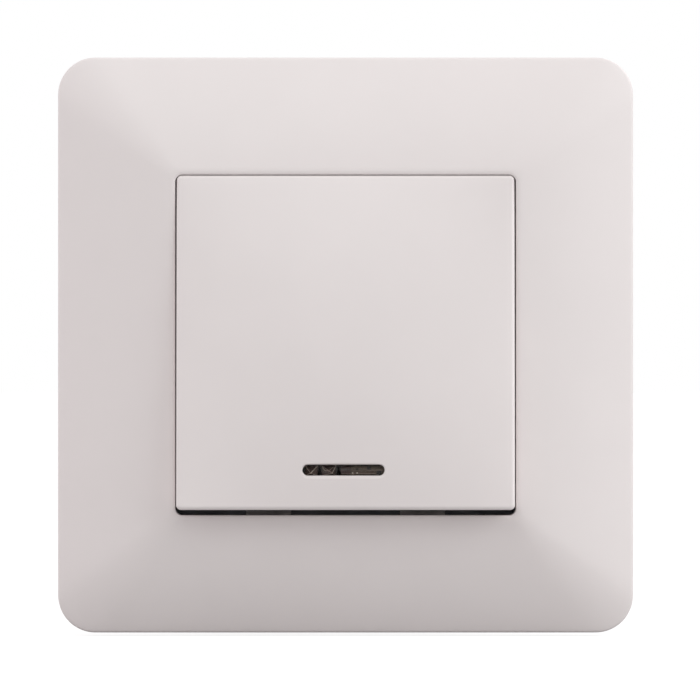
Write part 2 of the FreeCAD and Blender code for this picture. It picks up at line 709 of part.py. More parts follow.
def make_mechanism_cover():
    cover = Piece("mechanism_cover")
    half = housing_half + s.cover_overlap
    cover.add("front", s.plate_thick, flange_top, rounded(0, 0, half, half, s.cover_corner))
    cover.add("front", -s.spigot_deep, s.plate_thick,
              rectangle(-spigot_half_wide, spigot_half_wide, -spigot_half_high, spigot_half_high))
    cover.cut("front", -s.spigot_deep, s.plate_thick,
              rectangle(s.spigot_wall - spigot_half_wide, spigot_half_wide - s.spigot_wall,
                        s.spigot_wall - spigot_half_high, spigot_half_high - s.spigot_wall))

    bore = s.plunger_radius + s.plunger_play
    sleeve_top = flange_top + s.sleeve_rise
    cover.add("front", sleeve_back, sleeve_top, circle(0, -s.foot_place, bore + s.sleeve_wall))
    cover.cut("front", sleeve_back, sleeve_top, circle(0, -s.foot_place, bore))

    half_stop = s.stop_wide / 2
    cover.add("front", flange_top, stop_tip - s.touch_gap,
              rectangle(-half_stop, half_stop, s.stop_place - s.stop_round, s.stop_place + s.stop_round))

    bearing = s.trunnion_radius + s.trunnion_play
    half_tower = s.tower_deep / 2
    half_entry = s.tower_entry / 2
    top = pivot_height + s.tower_lip
    shoulder = half_tower - s.tower_lip
    half_hole = s.lead_radius + s.lead_play
    for sign in BOTH:
        inside, outside = tower_inner * sign, tower_outer * sign
        cover.add("side", inside, outside, polygon(
            (flange_top, -half_tower), (pivot_height, -half_tower), (top, -shoulder),
            (top, shoulder), (pivot_height, half_tower), (flange_top, half_tower)))
        cover.cut("side", inside, outside, circle(pivot_height, 0, bearing))
        cover.cut("side", inside, outside, rectangle(pivot_height, top, -half_entry, half_entry))
        post_x = s.terminal_place * sign
        half_post = s.post_side / 2
        post_high = block_top - s.post_side
        cover.add("front", block_front + s.touch_gap, s.plate_thick,
                  rectangle(post_x - half_post, post_x + half_post, post_high - s.post_side, post_high))
        lead_x = lead_place * sign
        cover.cut("front", s.plate_thick, flange_top,
                  rectangle(lead_x - half_hole, lead_x + half_hole,
                            -lamp_place - half_hole, half_hole - lamp_place))
        for end in BOTH:
            cover.cut("front", s.plate_thick, flange_top,
                      many_sided(screw_place * sign, screw_place * end, s.screw_radius + s.screw_play,
                                 BUTTON_SIDES))


# Base housing

def make_base_housing():
    housing = Piece("base_housing")
    half = housing_half
    back = -s.housing_deep
    short = half - s.housing_chamfer
    housing.add("front", back, 0, polygon(
        (-short, -half), (short, -half), (half, -short), (half, short),
        (short, half), (-short, half), (-half, short), (-half, -short)))
    housing.ease("Chamfer", s.housing_ease, at_height(back))

    wide = housing_inner
    arm = cavity_arm
    housing.cut("front", housing_floor_height, 0, polygon(
        (-arm, -wide), (arm, -wide), (arm, -arm), (wide, -arm), (wide, arm), (arm, arm),
        (arm, wide), (-arm, wide), (-arm, arm), (-wide, arm), (-wide, -arm), (-arm, -arm)))

    housing.add("front", housing_floor_height, housing_floor_height + s.guide_rise,
                circle(0, -s.foot_place, s.guide_radius))
    for sign in BOTH:
        x = s.terminal_place * sign
        half_block = s.block_wide / 2
        housing.add("front", housing_floor_height, seat_height,
                    rectangle(x - half_block, x + half_block, block_foot, block_top))
        inner, outer = strip_inner * sign, strip_outer * sign
        housing.add("front", housing_floor_height, ledge_height,
                    rectangle(inner, outer, -lamp_place, block_foot - s.strip_thick))
        housing.cut("front", back, seat_height, circle(x, wire_height, s.wire_funnel))
        housing.cut("level", wide, half, circle(x, terminal_screw_height, s.wire_funnel))
        for end in BOTH:
            housing.cut("front", -s.screw_reach - s.screw_spare, 0,
                        many_sided(screw_place * sign, screw_place * end, s.screw_radius + s.screw_bite,
                                   BUTTON_SIDES))


# Screws that hold the mechanism together

def make_housing_screw(number, x, z):
    screw = Piece("housing_screw_%d" % number)
    top = flange_top + s.screw_head_thick
    screw.add("front", -s.screw_reach, flange_top, many_sided(x, z, s.screw_radius, BUTTON_SIDES))
    screw.add("front", flange_top, top, many_sided(x, z, s.screw_head_radius, BUTTON_SIDES))
    half_drive = s.drive_wide / 2
    reach = s.screw_head_radius
    screw.cut("front", top - s.drive_deep, top,
              rectangle(x - reach, x + reach, z - half_drive, z + half_drive))


# Key, lens and cradle, modelled level about the pivot and tilted to rest

def key_piece(name):
    return Piece(name, place=(0, -pivot_height, 0), tilt=-s.rest_tilt)


def make_push_key():
    key = key_piece("push_key")
    back = s.key_over_pivot - s.key_deep
    key.add("front", back, s.key_over_pivot, rounded(0, 0, key_half_wide, key_half_high, s.key_corner))
    key.ease("Fillet", s.key_edge, at_height(s.key_over_pivot))
    bow_wide = key_half_wide - s.key_rim
    bow_high = key_half_high - s.key_rim
    level = polygon((s.key_over_pivot, -bow_high), (key_inside, -bow_high),
                    (key_inside, bow_high), (s.key_over_pivot, bow_high))
    crowned = bowed(key_inside, s.key_over_pivot, bow_high, s.key_crown)
    key.loft("side", [(-bow_wide, level), (0, crowned), (bow_wide, level)])
    inner_wide = key_half_wide - s.key_wall
    inner_high = key_half_high - s.key_wall
    key.cut("front", back, key_inside, rounded(0, 0, inner_wide, inner_high, s.key_corner))
    key.cut("front", key_inside, s.key_over_pivot + s.key_crown,
            slot(s.light_shift, -light_drop, s.light_long / 2, s.light_high / 2))
    half_rib = s.rib_long / 2
    rib_back = key_inside - s.rib_deep
    inner = s.cradle_high / 2 + s.clip_play
    outer = inner + s.clip_thick
    nose_back = cradle_back - s.clip_thick / 2
    for sign in BOTH:
        rib_inner = (tower_outer + s.rib_gap) * sign
        rib_outer = (tower_outer + s.rib_gap + s.rib_thick) * sign
        key.add("front", rib_back, key_inside, rectangle(rib_inner, rib_outer, -half_rib, half_rib))
        for end in BOTH:
            clip_inner = (s.clip_place - s.clip_wide / 2) * sign
            clip_outer = (s.clip_place + s.clip_wide / 2) * sign
            key.add("side", clip_inner, clip_outer, polygon(
                (key_inside, inner * end), (cradle_back, inner * end),
                (cradle_back, (inner - s.clip_nose) * end), (nose_back, inner * end),
                (nose_back, outer * end), (key_inside, outer * end)))


def make_window_lens():
    lens = key_piece("window_lens")
    half_long = s.light_long / 2
    half_high = s.light_high / 2
    lip_back = key_inside - s.lens_lip_thick
    crown_there = s.key_crown * (1 - light_drop * light_drop / (key_half_high * key_half_high))
    lens.add("front", key_inside, s.key_over_pivot + crown_there - s.lens_sink,
             slot(s.light_shift, -light_drop, half_long - s.lens_play, half_high - s.lens_play))
    lens.add("front", lip_back, key_inside,
             slot(s.light_shift, -light_drop, half_long + s.lens_lip, half_high + s.lens_lip))
    ridges = int(s.light_long.value / s.prism_pitch.value)
    start = s.light_shift - s.prism_pitch * ridges / 2
    end = start + s.prism_pitch * ridges
    bite = lip_back + s.prism_deep / 2
    tips = [(start + s.prism_pitch * (ridge + 0.5), lip_back - s.prism_deep) for ridge in range(ridges)]
    valleys = [(start + s.prism_pitch * ridge, lip_back) for ridge in range(1, ridges)]
    between = [point for pair in zip(tips, valleys) for point in pair]
    points = [(start, bite)] + between + [tips[-1], (end, bite)]
    lens.add("level", -light_drop - half_high, half_high - light_drop, polygon(*points))


def make_rocker_cradle():
    cradle = key_piece("rocker_cradle")
    half_high = s.cradle_high / 2
    cradle.add("front", cradle_back, key_inside,
               rectangle(-cradle_half, cradle_half, -half_high, half_high))

    def leg(place, half_wide, drop, radius):
        cradle.add("side", -half_wide, half_wide,
                   rectangle(-drop, cradle_back, place - radius, place + radius))
        cradle.add("side", -half_wide, half_wide, circle(-drop, place, radius))

    leg(-s.foot_place, s.foot_wide / 2, s.foot_drop, s.foot_round)
    leg(s.stop_place, s.stop_wide / 2, s.stop_drop, s.stop_round)
    for sign in BOTH:
        cheek_inner = (cradle_half - s.cheek_thick) * sign
        cheek_outer = cradle_half * sign
        cradle.add("side", cheek_inner, cheek_outer,
                   rectangle(0, cradle_back, -s.cheek_round, s.cheek_round))
        cradle.add("side", cheek_inner, cheek_outer, circle(0, 0, s.cheek_round))
        cradle.add("side", cheek_outer, (tower_outer - s.touch_gap) * sign, circle(0, 0, s.trunnion_radius))


# Plunger, contact bridge and springs

def make_plunger():
    plunger = Piece("plunger")
    z = -s.foot_place
    plunger.add("front", plunger_flange_front, foot_tip - s.touch_gap, circle(0, z, s.plunger_radius))
    plunger.add("front", plunger_flange_back, plunger_flange_front, circle(0, z, s.flange_radius))
    half_wide = s.cage_wide / 2
    half_high = s.cage_high / 2
    plunger.add("front", cage_back, plunger_flange_back,
                rectangle(-half_wide, half_wide, z - half_high, z + half_high))
    half_window = s.bridge_wide / 2 + s.bridge_play
    plunger.cut("front", bridge_back, cage_window_front,
                rectangle(-half_wide, half_wide, z - half_window, z + half_window))


def make_contact_bridge():
    bridge = Piece("contact_bridge")
    z = -s.foot_place
    half_long = s.contact_place + s.contact_radius + s.bridge_rim
    half_wide = s.bridge_wide / 2
    bridge.add("front", bridge_back, bridge_front, rounded(0, z, half_long, half_wide, s.bridge_corner))


def make_contact(name, x, back, front):
    """A welded contact button."""
    contact = Piece(name)
    contact.add("front", back, front,
                many_sided(x, -s.foot_place, s.contact_radius, BUTTON_SIDES))


def make_spring(name, front, back, coil, wire, turns):
    """A compression spring along the plunger, its wire drawn with four sides."""
    spring = Piece(name, place=(0, -front, -s.foot_place))
    section = spring.sketch("level", 0, polygon(
        (coil - wire, -wire), (coil, 0), (coil + wire, -wire), (coil, -wire * 2)))
    helix = spring.feature("AdditiveHelix", section)
    helix.ReferenceAxis = (section, ["V_Axis"])
    helix.Mode = "height-turns-angle"
    helix.Angle = 0
    helix.setExpression("Turns", turns.text)
    helix.setExpression("Height", (front - back - wire * 2).text)


# Terminals and strips

def make_terminal_block(name, sign):
    block = Piece("terminal_block_" + name)
    x = s.terminal_place * sign
    half = s.block_wide / 2
    block.add("front", block_back, block_front, rectangle(x - half, x + half, block_foot, block_top))
    block.cut("front", block_back, block_front, circle(x, wire_height, s.wire_radius))
    block.cut("level", wire_height, block_top,
              circle(x, terminal_screw_height, s.terminal_screw_radius + s.terminal_screw_play))


def make_terminal_screw(name, sign):
    tip = wire_height + s.wire_radius + s.terminal_lift
    screw = Piece("terminal_screw_" + name, place=(s.terminal_place * sign, -terminal_screw_height, tip))
    neck = block_top + s.terminal_head_gap - tip
    top = neck + s.terminal_head_thick
    radius = s.terminal_screw_radius
    screw.turn("front", polygon(
        (0, 0), (radius, 0), (radius, neck), (s.terminal_head_radius, neck),
        (s.terminal_head_radius, top), (0, top)))
    half_drive = s.drive_wide / 2
    screw.cut("level", top - s.drive_deep, top,
              rectangle(-s.terminal_head_radius, s.terminal_head_radius, -half_drive, half_drive))


def make_contact_strip(name, sign):
    strip = Piece("contact_strip_" + name)
    inner, outer = strip_inner * sign, strip_outer * sign
    foot_front = strip_front + s.strip_foot
    foot_back = block_foot - s.strip_thick
    tail = -lamp_place - s.strip_tail
    strip.add("side", inner, outer, polygon(
        (foot_front, block_foot), (foot_front, foot_back), (strip_front, foot_back), (strip_front, tail),
        (ledge_height, tail), (ledge_height, block_foot)))


# Lamp behind the window

def make_lamp_holder():
    holder = Piece("lamp_holder")
    z = -lamp_place
    half_wide = lead_place + s.holder_rim
    half_high = s.holder_high / 2
    base_top = flange_top + s.holder_thick
    holder.add("front", flange_top, base_top,
               rectangle(-half_wide, half_wide, z - half_high, z + half_high))
    nest = s.lamp_radius + s.holder_play
    for sign in BOTH:
        post_inner = (s.lamp_long / 2 - s.holder_post) * sign
        post_outer = s.lamp_long / 2 * sign
        holder.add("side", post_inner, post_outer,
                   rectangle(base_top, s.lamp_rise, z - half_high, z + half_high))
        holder.cut("side", post_inner, post_outer, circle(s.lamp_rise, z, nest))
        lead_x = lead_place * sign
        half_hole = s.lead_radius + s.lead_play
        holder.cut("front", flange_top, base_top,
                   rectangle(lead_x - half_hole, lead_x + half_hole, z - half_hole, z + half_hole))


def make_indicator_lamp():
    lamp = Piece("indicator_lamp")
    half = s.lamp_long / 2
    lamp.add("side", -half, half, many_sided(s.lamp_rise, -lamp_place, s.lamp_radius, BUTTON_SIDES))

    def end_edge(edge):
        return near(edge.valueAt(edge.FirstParameter).x, edge.valueAt(edge.LastParameter).x)

    lamp.ease("Chamfer", s.lamp_end, end_edge)


def make_lamp_lead(name, sign):
    lead = Piece("lamp_lead_" + name)
    z = -lamp_place
    start = s.lamp_long / 2
    path = lead.sketch("level", z)
    bend = s.lead_bend
    run_y = -s.lamp_rise
    corner_x = lead_place - bend
    corner_y = run_y + bend
    first = sign * start
    sketch_line(path, first, run_y, corner_x * sign, run_y)
    middle = Part.Circle(vector(corner_x * sign, corner_y), FreeCAD.Vector(0, 0, 1), bend.value)
    if sign == 1:
        arc = Part.ArcOfCircle(middle, -math.pi / 2, 0)
        ends = (1, 2)
    else:
        arc = Part.ArcOfCircle(middle, -math.pi, -math.pi / 2)
        ends = (2, 1)
    index = path.addGeometry(arc)
    pin(path, "DistanceX", index, 3, corner_x * sign)
    pin(path, "DistanceY", index, 3, corner_y)
    pin(path, "Radius", index, None, bend)
    pin(path, "DistanceX", index, ends[0], corner_x * sign)
    pin(path, "DistanceY", index, ends[1], corner_y)
    sketch_line(path, lead_place * sign, corner_y, lead_place * sign, -strip_front)
    section = many_sided(s.lamp_rise, z, s.lead_radius, WIRE_SIDES)
    profile = lead.sketch("side", first, section)
    pipe = lead.feature("AdditivePipe", profile)
    pipe.Spine = (path, ["Edge1", "Edge2", "Edge3"])


def sketch_line(sketch, start_x, start_y, end_x, end_y):
    """A straight run of a path, with both ends held."""
    index = sketch.addGeometry(Part.LineSegment(vector(start_x, start_y), vector(end_x, end_y)))
    pin(sketch, "DistanceX", index, 1, start_x)
    pin(sketch, "DistanceY", index, 1, start_y)
    pin(sketch, "DistanceX", index, 2, end_x)
    pin(sketch, "DistanceY", index, 2, end_y)


def make_lamp_resistor():
    resistor = Piece("lamp_resistor")
    x = -lead_place
    front = -s.resistor_place
    back = front - s.resistor_long
    bore = s.lead_radius + s.resistor_play
    resistor.add("front", back, front,
                 many_sided(x, -lamp_place, s.resistor_radius, BUTTON_SIDES))
    resistor.cut("front", back, front, many_sided(x, -lamp_place, bore, WIRE_SIDES))


# Spreading claws

def make_claw(name, sign):
    claw = Piece("claw_" + name)
    x = claw_place * sign
    inner = x - s.claw_inner * sign
    outer = x + s.claw_outer * sign
    front = -s.claw_start
    back = front - s.claw_long
    thick = s.claw_thick
    half = s.claw_wide / 2
    web = inner + thick * sign
    claw.add("level", -s.claw_drop - half, half - s.claw_drop, polygon(
        (inner, front), (outer, front), (outer, front - thick), (web, front - thick),
        (web, back + thick), (outer, back + thick), (outer, back), (inner, back)))
    bore = s.claw_screw_radius + s.claw_screw_play
    claw.cut("front", back, front, circle(x, -s.claw_drop, bore))
    pitch = s.claw_wide / CLAW_NOTCHES
    for notch in range(CLAW_NOTCHES):
        middle = pitch * (notch + 0.5) - half - s.claw_drop
        root_x = outer - s.tooth_deep * sign
        claw.cut("front", back, back + thick, polygon(
            (outer, middle - pitch / 2), (outer, middle + pitch / 2), (root_x, middle)))


def make_claw_screw(name, sign):
    screw = Piece("claw_screw_" + name, place=(claw_place * sign, -claw_pivot_height, -s.claw_drop))
    radius = s.claw_screw_radius
    ball = s.claw_head_radius
    tip = -claw_pivot_height - s.claw_start - s.claw_long - s.claw_screw_tail
    neck = -root(claw_ball - radius * radius)
    rim = s.claw_head_rim
    screw.turn("level", polygon(
        (0, tip), (radius, tip), (radius, neck), (s.claw_seat, -claw_seat_rise),
        (ball, 0), (ball, rim), (0, rim)))
    half_drive = s.drive_wide / 2
    screw.cut("front", rim - s.drive_deep, rim, rectangle(-ball, ball, -half_drive, half_drive))


# Build every piece

def build():
    make_cover_frame()
    make_support_plate()
    make_mechanism_cover()
    make_base_housing()
    place = screw_place
    corners = [(-place, place), (place, place), (-place, -place), (place, -place)]
    for number, (x, z) in enumerate(corners, start=1):
        make_housing_screw(number, x, z)
    make_push_key()
    make_window_lens()
    make_rocker_cradle()
    make_plunger()
    make_contact_bridge()
    make_spring("return_spring", cage_back, housing_floor_height,
                s.return_coil, s.return_wire, s.return_turns)
    make_spring("bridge_spring", cage_window_front, bridge_front,
                s.bridge_coil, s.bridge_wire, s.bridge_turns)
    make_lamp_holder()
    make_indicator_lamp()
    make_lamp_resistor()
    for name, sign in SIDES:
        x = s.contact_place * sign
        make_contact("fixed_contact_" + name, x, strip_front, fixed_tip)
        make_contact("moving_contact_" + name, x, moving_tip, bridge_back)
        make_terminal_block(name, sign)
        make_terminal_screw(name, sign)
        make_contact_strip(name, sign)
        make_lamp_lead(name, sign)
        make_claw(name, sign)
        make_claw_screw(name, sign)
    document.recompute()


def check_and_write():
    for item in document.Objects:
        if "Invalid" in item.State or "Error" in item.State:
            raise RuntimeError("%s failed: %s" % (item.Name, item.State))
    bodies = [item for item in document.Objects if item.isDerivedFrom("PartDesign::Body")]
    for body in bodies:
        if body.Shape.isNull() or not body.Shape.isValid():
            raise RuntimeError("%s has no valid shape" % body.Label)
    os.makedirs("parts", exist_ok=True)
    for body in bodies:
        body.Shape.exportStep("parts/%s.step" % body.Label)
        print("%-24s %10.2f mm3  %d solid" % (body.Label, body.Shape.Volume, len(body.Shape.Solids)))


build()
check_and_write()
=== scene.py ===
import math

import bpy
from mathutils import Matrix, Vector


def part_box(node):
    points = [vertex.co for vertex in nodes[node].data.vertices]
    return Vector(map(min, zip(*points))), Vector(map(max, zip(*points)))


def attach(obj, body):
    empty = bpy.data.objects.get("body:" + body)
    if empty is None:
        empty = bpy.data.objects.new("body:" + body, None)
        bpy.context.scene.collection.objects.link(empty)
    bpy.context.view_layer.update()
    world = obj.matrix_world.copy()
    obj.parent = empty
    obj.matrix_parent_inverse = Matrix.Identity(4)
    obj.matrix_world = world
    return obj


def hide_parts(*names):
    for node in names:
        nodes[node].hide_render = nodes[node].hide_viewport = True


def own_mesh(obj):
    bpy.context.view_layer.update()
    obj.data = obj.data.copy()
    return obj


# Push button light switch: a warm white satin key in a pillow-shaped frame, seen straight from the front.
# Sizes are in millimetres and turned into metres where meshes are made. As in the model, a height h above
# the wall lies at Y = -h.

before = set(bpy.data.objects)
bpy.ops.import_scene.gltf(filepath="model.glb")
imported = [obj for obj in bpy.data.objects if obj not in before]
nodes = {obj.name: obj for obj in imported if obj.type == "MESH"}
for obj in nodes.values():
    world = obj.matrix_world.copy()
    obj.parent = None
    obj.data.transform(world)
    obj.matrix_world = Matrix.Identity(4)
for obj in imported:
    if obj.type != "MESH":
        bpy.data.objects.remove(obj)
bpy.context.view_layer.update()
MM = 0.001

# Cover frame: its face falls from the opening to the outline
RISE, FALL, BOW = 9.6, 5.0, 0.47
FRAME_HALF, FRAME_CORNER, FRAME_WALL, FRAME_EDGE = 41.0, 5.3, 1.8, 0.3
OPENING_HALF, OPENING_CORNER, OPENING_RIM, OPENING_DROP = 24.2, 1.0, 0.45, 0.26
FACE_START, RIDGE_GROWTH = 24.9, 0.36
COLLAR_HALF, COLLAR_CORNER, COLLAR_FOOT, PLATE_THICK = 25.9, 1.8, 4.0, 1.0
INNER_EASE = 1.5
# The frame's arms, with their shoulders on the plate and hooks behind it, and the legs in the corners
ARM_PLACE, ARM_HALF, ARM_THICK, LEG_LONG = 11.0, 2.25, 1.4, 6.0
SHOULDER_HALF, SHOULDER_THICK, SHOULDER_HEIGHT = 3.2, 2.2, 1.6
HOOK_OUT, HOOK_BACK = 1.0, 1.2
JOIN = 0.5
# Key, level about its pivot
PIVOT_HEIGHT, REST_TILT = 7.6057, 5.5
KEY_HALF_WIDE, KEY_HALF_HIGH, KEY_CORNER, KEY_EDGE, KEY_WALL = 24.0, 23.85, 0.7, 0.5, 1.5
KEY_FACE, KEY_INSIDE, KEY_BACK, KEY_CROWN = 4.3, 2.6, -1.7, 2.3
SKIRT_LEAN, LEAN_START, LEAN_FULL = 5, 20, 3
FOOT_EASE = 0.15
RIB_X, RIB_THICK, RIB_DEEP, RIB_HALF = 18.0, 1.0, 2.0, 18.0
CLIP_X, CLIP_HALF, CLIP_Z, CLIP_THICK = 8.0, 2.0, 14.05, 1.2
CLIP_CATCH, CLIP_TIP, CLIP_NOSE = 1.4, 0.8, 0.45
# Light window and lens
WINDOW_X, WINDOW_Z, WINDOW_HALF_LONG, WINDOW_HALF_HIGH = -0.29, -18.27, 5.82, 0.78
RIM_WIDE, RIM_LOW, RIM_BLEND = 0.14, 0.36, 0.6
LENS_SINK, LENS_PLAY, LENS_LIP, LENS_LIP_THICK = 0.2, 0.06, 1.0, 0.7
# Screws: the slots in their heads, and each kind's head height, head radius, seat profile and shank radius
DRIVE_WIDE, DRIVE_DEEP, THREAD_PITCH = 0.8, 0.7, 0.6
SCREWS = {
    "claw": (0.7, 2.6, [(1.4, 2.1), (2.9, 1.4)], 1.4),
    "housing": (1.4, 2.4, [(1.4, 1.25)], 1.25),
    "terminal": (1.6, 2.1, [(1.6, 1.7)], 1.7),
}
# Springs: coil and wire radius and turns; lamp: glass end and electrodes
RETURN_COIL, BRIDGE_COIL = (2.35, 0.25, 8), (1.5, 0.18, 6)
LAMP_DOME, LAMP_TIP, ROD_APART, ROD_RADIUS = 0.9, 0.25, 0.42, 0.24
# The floor's glow and shade as the camera sees it, and the light that it throws back on the switch
FLOOR_GLOW, FLOOR_SHADE, FLOOR_BOUNCE = 0.82, 0.35, 0.5
TILTED = Matrix.Translation((0, -PIVOT_HEIGHT * MM, 0)) @ Matrix.Rotation(math.radians(-REST_TILT), 4, "X")


# Mesh helpers

def new_object(name, vertices, faces, smooth_angle=35):
    """A mesh from millimetre points, smooth but for edges sharper than the angle."""
    mesh = bpy.data.meshes.new(name)
    mesh.from_pydata([Vector(v) * MM for v in vertices], [], faces)
    mesh.validate()
    mesh.shade_smooth()
    mesh.set_sharp_from_angle(angle=math.radians(smooth_angle))
    made = bpy.data.objects.new(name, mesh)
    bpy.context.scene.collection.objects.link(made)
    return made


def sweep(rings, closed_rings=False, capped=False):
    """Vertices and faces of quads between rings of equal length."""
    count = len(rings[0])
    vertices = [point for ring in rings for point in ring]
    faces = []
    last = len(rings) if closed_rings else len(rings) - 1
    for ring in range(last):
        low, high = ring * count, (ring + 1) % len(rings) * count
        for i in range(count):
            j = (i + 1) % count
            faces.append((low + i, low + j, high + j, high + i))
    if capped:
        faces.append(tuple(reversed(range(count))))
        faces.append(tuple(range(len(vertices) - count, len(vertices))))
    return vertices, faces


def gather(*parts):
    """Several (vertices, faces) pairs as one."""
    vertices, faces = [], []
    for part_vertices, part_faces in parts:
        start = len(vertices)
        vertices.extend(part_vertices)
        faces.extend(tuple(start + i for i in face) for face in part_faces)
    return vertices, faces


def rounded_square(half_x, half_z, radius, side_steps=48, arc_steps=16):
    """Points round a rectangle with round corners, the same number whatever its size."""
    points = []
    for turn in range(4):
        start = math.pi / 2 * turn
        sign_x, sign_z = ((1, 1), (-1, 1), (-1, -1), (1, -1))[turn]
        centre_x, centre_z = (half_x - radius) * sign_x, (half_z - radius) * sign_z
        for step in range(arc_steps):
            angle = start + math.pi / 2 * step / arc_steps
            points.append((centre_x + radius * math.cos(angle), centre_z + radius * math.sin(angle)))
        end = start + math.pi / 2
        here = (centre_x + radius * math.cos(end), centre_z + radius * math.sin(end))
        next_x, next_z = ((-1, 1), (-1, -1), (1, -1), (1, 1))[turn]
        there = ((half_x - radius) * next_x + radius * math.cos(end),
                 (half_z - radius) * next_z + radius * math.sin(end))
        for step in range(side_steps):
            share = step / side_steps
            points.append((here[0] + (there[0] - here[0]) * share, here[1] + (there[1] - here[1]) * share))
    return points


def box_part(low, high):
    """A box between two corners, as vertices and faces."""
    (x0, y0, z0), (x1, y1, z1) = low, high
    front = [(x0, y0, z0), (x1, y0, z0), (x1, y0, z1), (x0, y0, z1)]
    back = [(x, y1, z) for x, y, z in front]
    return sweep([front, back], capped=True)


def tube_part(path, radius, sides=12):
    """A round tube along a path of points."""
    points = [Vector(p) for p in path]
    side = None
    rings = []
    for index, point in enumerate(points):
        before, after = points[max(index - 1, 0)], points[min(index + 1, len(points) - 1)]
        along = (after - before).normalized()
        if side is None:
            side = along.orthogonal().normalized()
        side = (side - along * side.dot(along)).normalized()
        other = along.cross(side)
        rings.append([
            tuple(point + (side * math.cos(turn) + other * math.sin(turn)) * radius)
            for turn in (math.tau * step / sides for step in range(sides))
        ])
    return sweep(rings, capped=True)


def turned_part(profile, sides=32):
    """A form turned about the x axis, from (place along x, radius) pairs."""
    turns = [math.tau * step / sides for step in range(sides)]
    return sweep([[(x, radius * math.cos(t), radius * math.sin(t)) for t in turns] for x, radius in profile],
                 capped=True)


def placed(part, matrix):
    """A part's vertices moved by a matrix in millimetres."""
    vertices, faces = part
    return [tuple(matrix @ Vector(v)) for v in vertices], faces


def finish_piece(piece, body, node, slot, *materials):
    """Set a piece's materials and body and hide the model's node that it stands for; the slot is not used."""
    for material in materials:
        piece.data.materials.append(material)
    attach(piece, body)
    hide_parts(node)
    return piece


def soften(piece, width, segments=2, angle=40):
    """Round the piece's edges a little, as moulded and stamped parts have them."""
    bevel = piece.modifiers.new("edges", "BEVEL")
    bevel.width = width * MM
    bevel.segments = segments
    bevel.limit_method = "ANGLE"
    bevel.angle_limit = math.radians(angle)
    bevel.harden_normals = True
    bevel.use_clamp_overlap = False
    return piece


def smooth_group():
    """Joins the split vertices of a carried-over piece and smooths it but for its sharp edges."""
    group = bpy.data.node_groups.new("smooth_by_angle", "GeometryNodeTree")
    group.interface.new_socket("Geometry", in_out="INPUT", socket_type="NodeSocketGeometry")
    group.interface.new_socket("Geometry", in_out="OUTPUT", socket_type="NodeSocketGeometry")
    inlet = group.nodes.new("NodeGroupInput")
    outlet = group.nodes.new("NodeGroupOutput")
    merge = group.nodes.new("GeometryNodeMergeByDistance")
    merge.inputs["Distance"].default_value = 0.002 * MM
    faces = group.nodes.new("GeometryNodeSetShadeSmooth")
    edges = group.nodes.new("GeometryNodeSetShadeSmooth")
    edges.domain = "EDGE"
    edges.inputs["Shade Smooth"].default_value = False
    angle = group.nodes.new("GeometryNodeInputMeshEdgeAngle")
    sharp = group.nodes.new("FunctionNodeCompare")
    sharp.operation = "GREATER_THAN"
    sharp.inputs[1].default_value = math.radians(30)
    link = group.links.new
    link(inlet.outputs[0], merge.inputs["Geometry"])
    link(merge.outputs[0], faces.inputs["Geometry"])
    link(faces.outputs[0], edges.inputs["Geometry"])
    link(angle.outputs["Unsigned Angle"], sharp.inputs[0])
    link(sharp.outputs[0], edges.inputs["Selection"])
    link(edges.outputs[0], outlet.inputs[0])
    return group


# Materials

class Finish:
    """A node material on one shader, with texture in the piece's own coordinates."""

    def __init__(self, name, colour, roughness, **sockets):
        self.material = bpy.data.materials.new(name)
        self.material.use_nodes = True
        self.tree = self.material.node_tree
        self.shader = self.tree.nodes["Principled BSDF"]
        self.shader.inputs["Base Color"].default_value = (*colour, 1)
        self.shader.inputs["Roughness"].default_value = roughness
        for socket, value in sockets.items():
            self.shader.inputs[socket.replace("_", " ")].default_value = value
        self.colour = colour
        self.roughness = roughness
        self.place = self.tree.nodes.new("ShaderNodeTexCoord").outputs["Object"]
        self.height = None

    def node(self, kind, **values):
        made = self.tree.nodes.new("ShaderNode" + kind)
        for name, value in values.items():
            made.inputs[name].default_value = value
        return made

    def link(self, output, target):
        self.tree.links.new(output, target)

    def noise(self, per_mm, stretch=(1, 1, 1), detail=2.0):
        """Noise with so many lumps per millimetre, drawn out along an axis where stretch is small."""
        mapping = self.node("Mapping")
        mapping.inputs["Scale"].default_value = [share * per_mm / MM for share in stretch]
        self.link(self.place, mapping.inputs["Vector"])
        noise = self.node("TexNoise", Scale=1.0, Detail=detail)
        self.link(mapping.outputs["Vector"], noise.inputs["Vector"])
        return noise.outputs["Fac"]

    def spread(self, source, low, high):
        """The source's usual range, 0.3 to 0.7, turned into low to high."""
        ranged = self.node("MapRange")
        ranged.inputs["From Min"].default_value = 0.3
        ranged.inputs["From Max"].default_value = 0.7
        ranged.inputs["To Min"].default_value = low
        ranged.inputs["To Max"].default_value = high
        self.link(source, ranged.inputs["Value"])
        return ranged.outputs["Result"]

    def vary_colour(self, source, other):
        """Blend the base colour towards another one by the source."""
        ramp = self.node("ValToRGB")
        ramp.color_ramp.elements[0].position = 0.35
        ramp.color_ramp.elements[0].color = (*self.colour, 1)
        ramp.color_ramp.elements[1].position = 0.65
        ramp.color_ramp.elements[1].color = (*other, 1)
        self.link(source, ramp.inputs["Fac"])
        self.link(ramp.outputs["Color"], self.shader.inputs["Base Color"])
        return self

    def vary_roughness(self, source, reach):
        self.link(self.spread(source, self.roughness - reach, self.roughness + reach),
                  self.shader.inputs["Roughness"])
        return self

    def bump(self, source, deep, strength=1.0):
        """Relief of that depth in millimetres, laid over what is there already."""
        bump = self.node("Bump", Strength=strength, Distance=deep * MM)
        self.link(source, bump.inputs["Height"])
        if self.height:
            self.link(self.height, bump.inputs["Normal"])
        self.height = bump.outputs["Normal"]
        self.link(self.height, self.shader.inputs["Normal"])
        return self


def shade(colour, share):
    return tuple(channel * share for channel in colour)


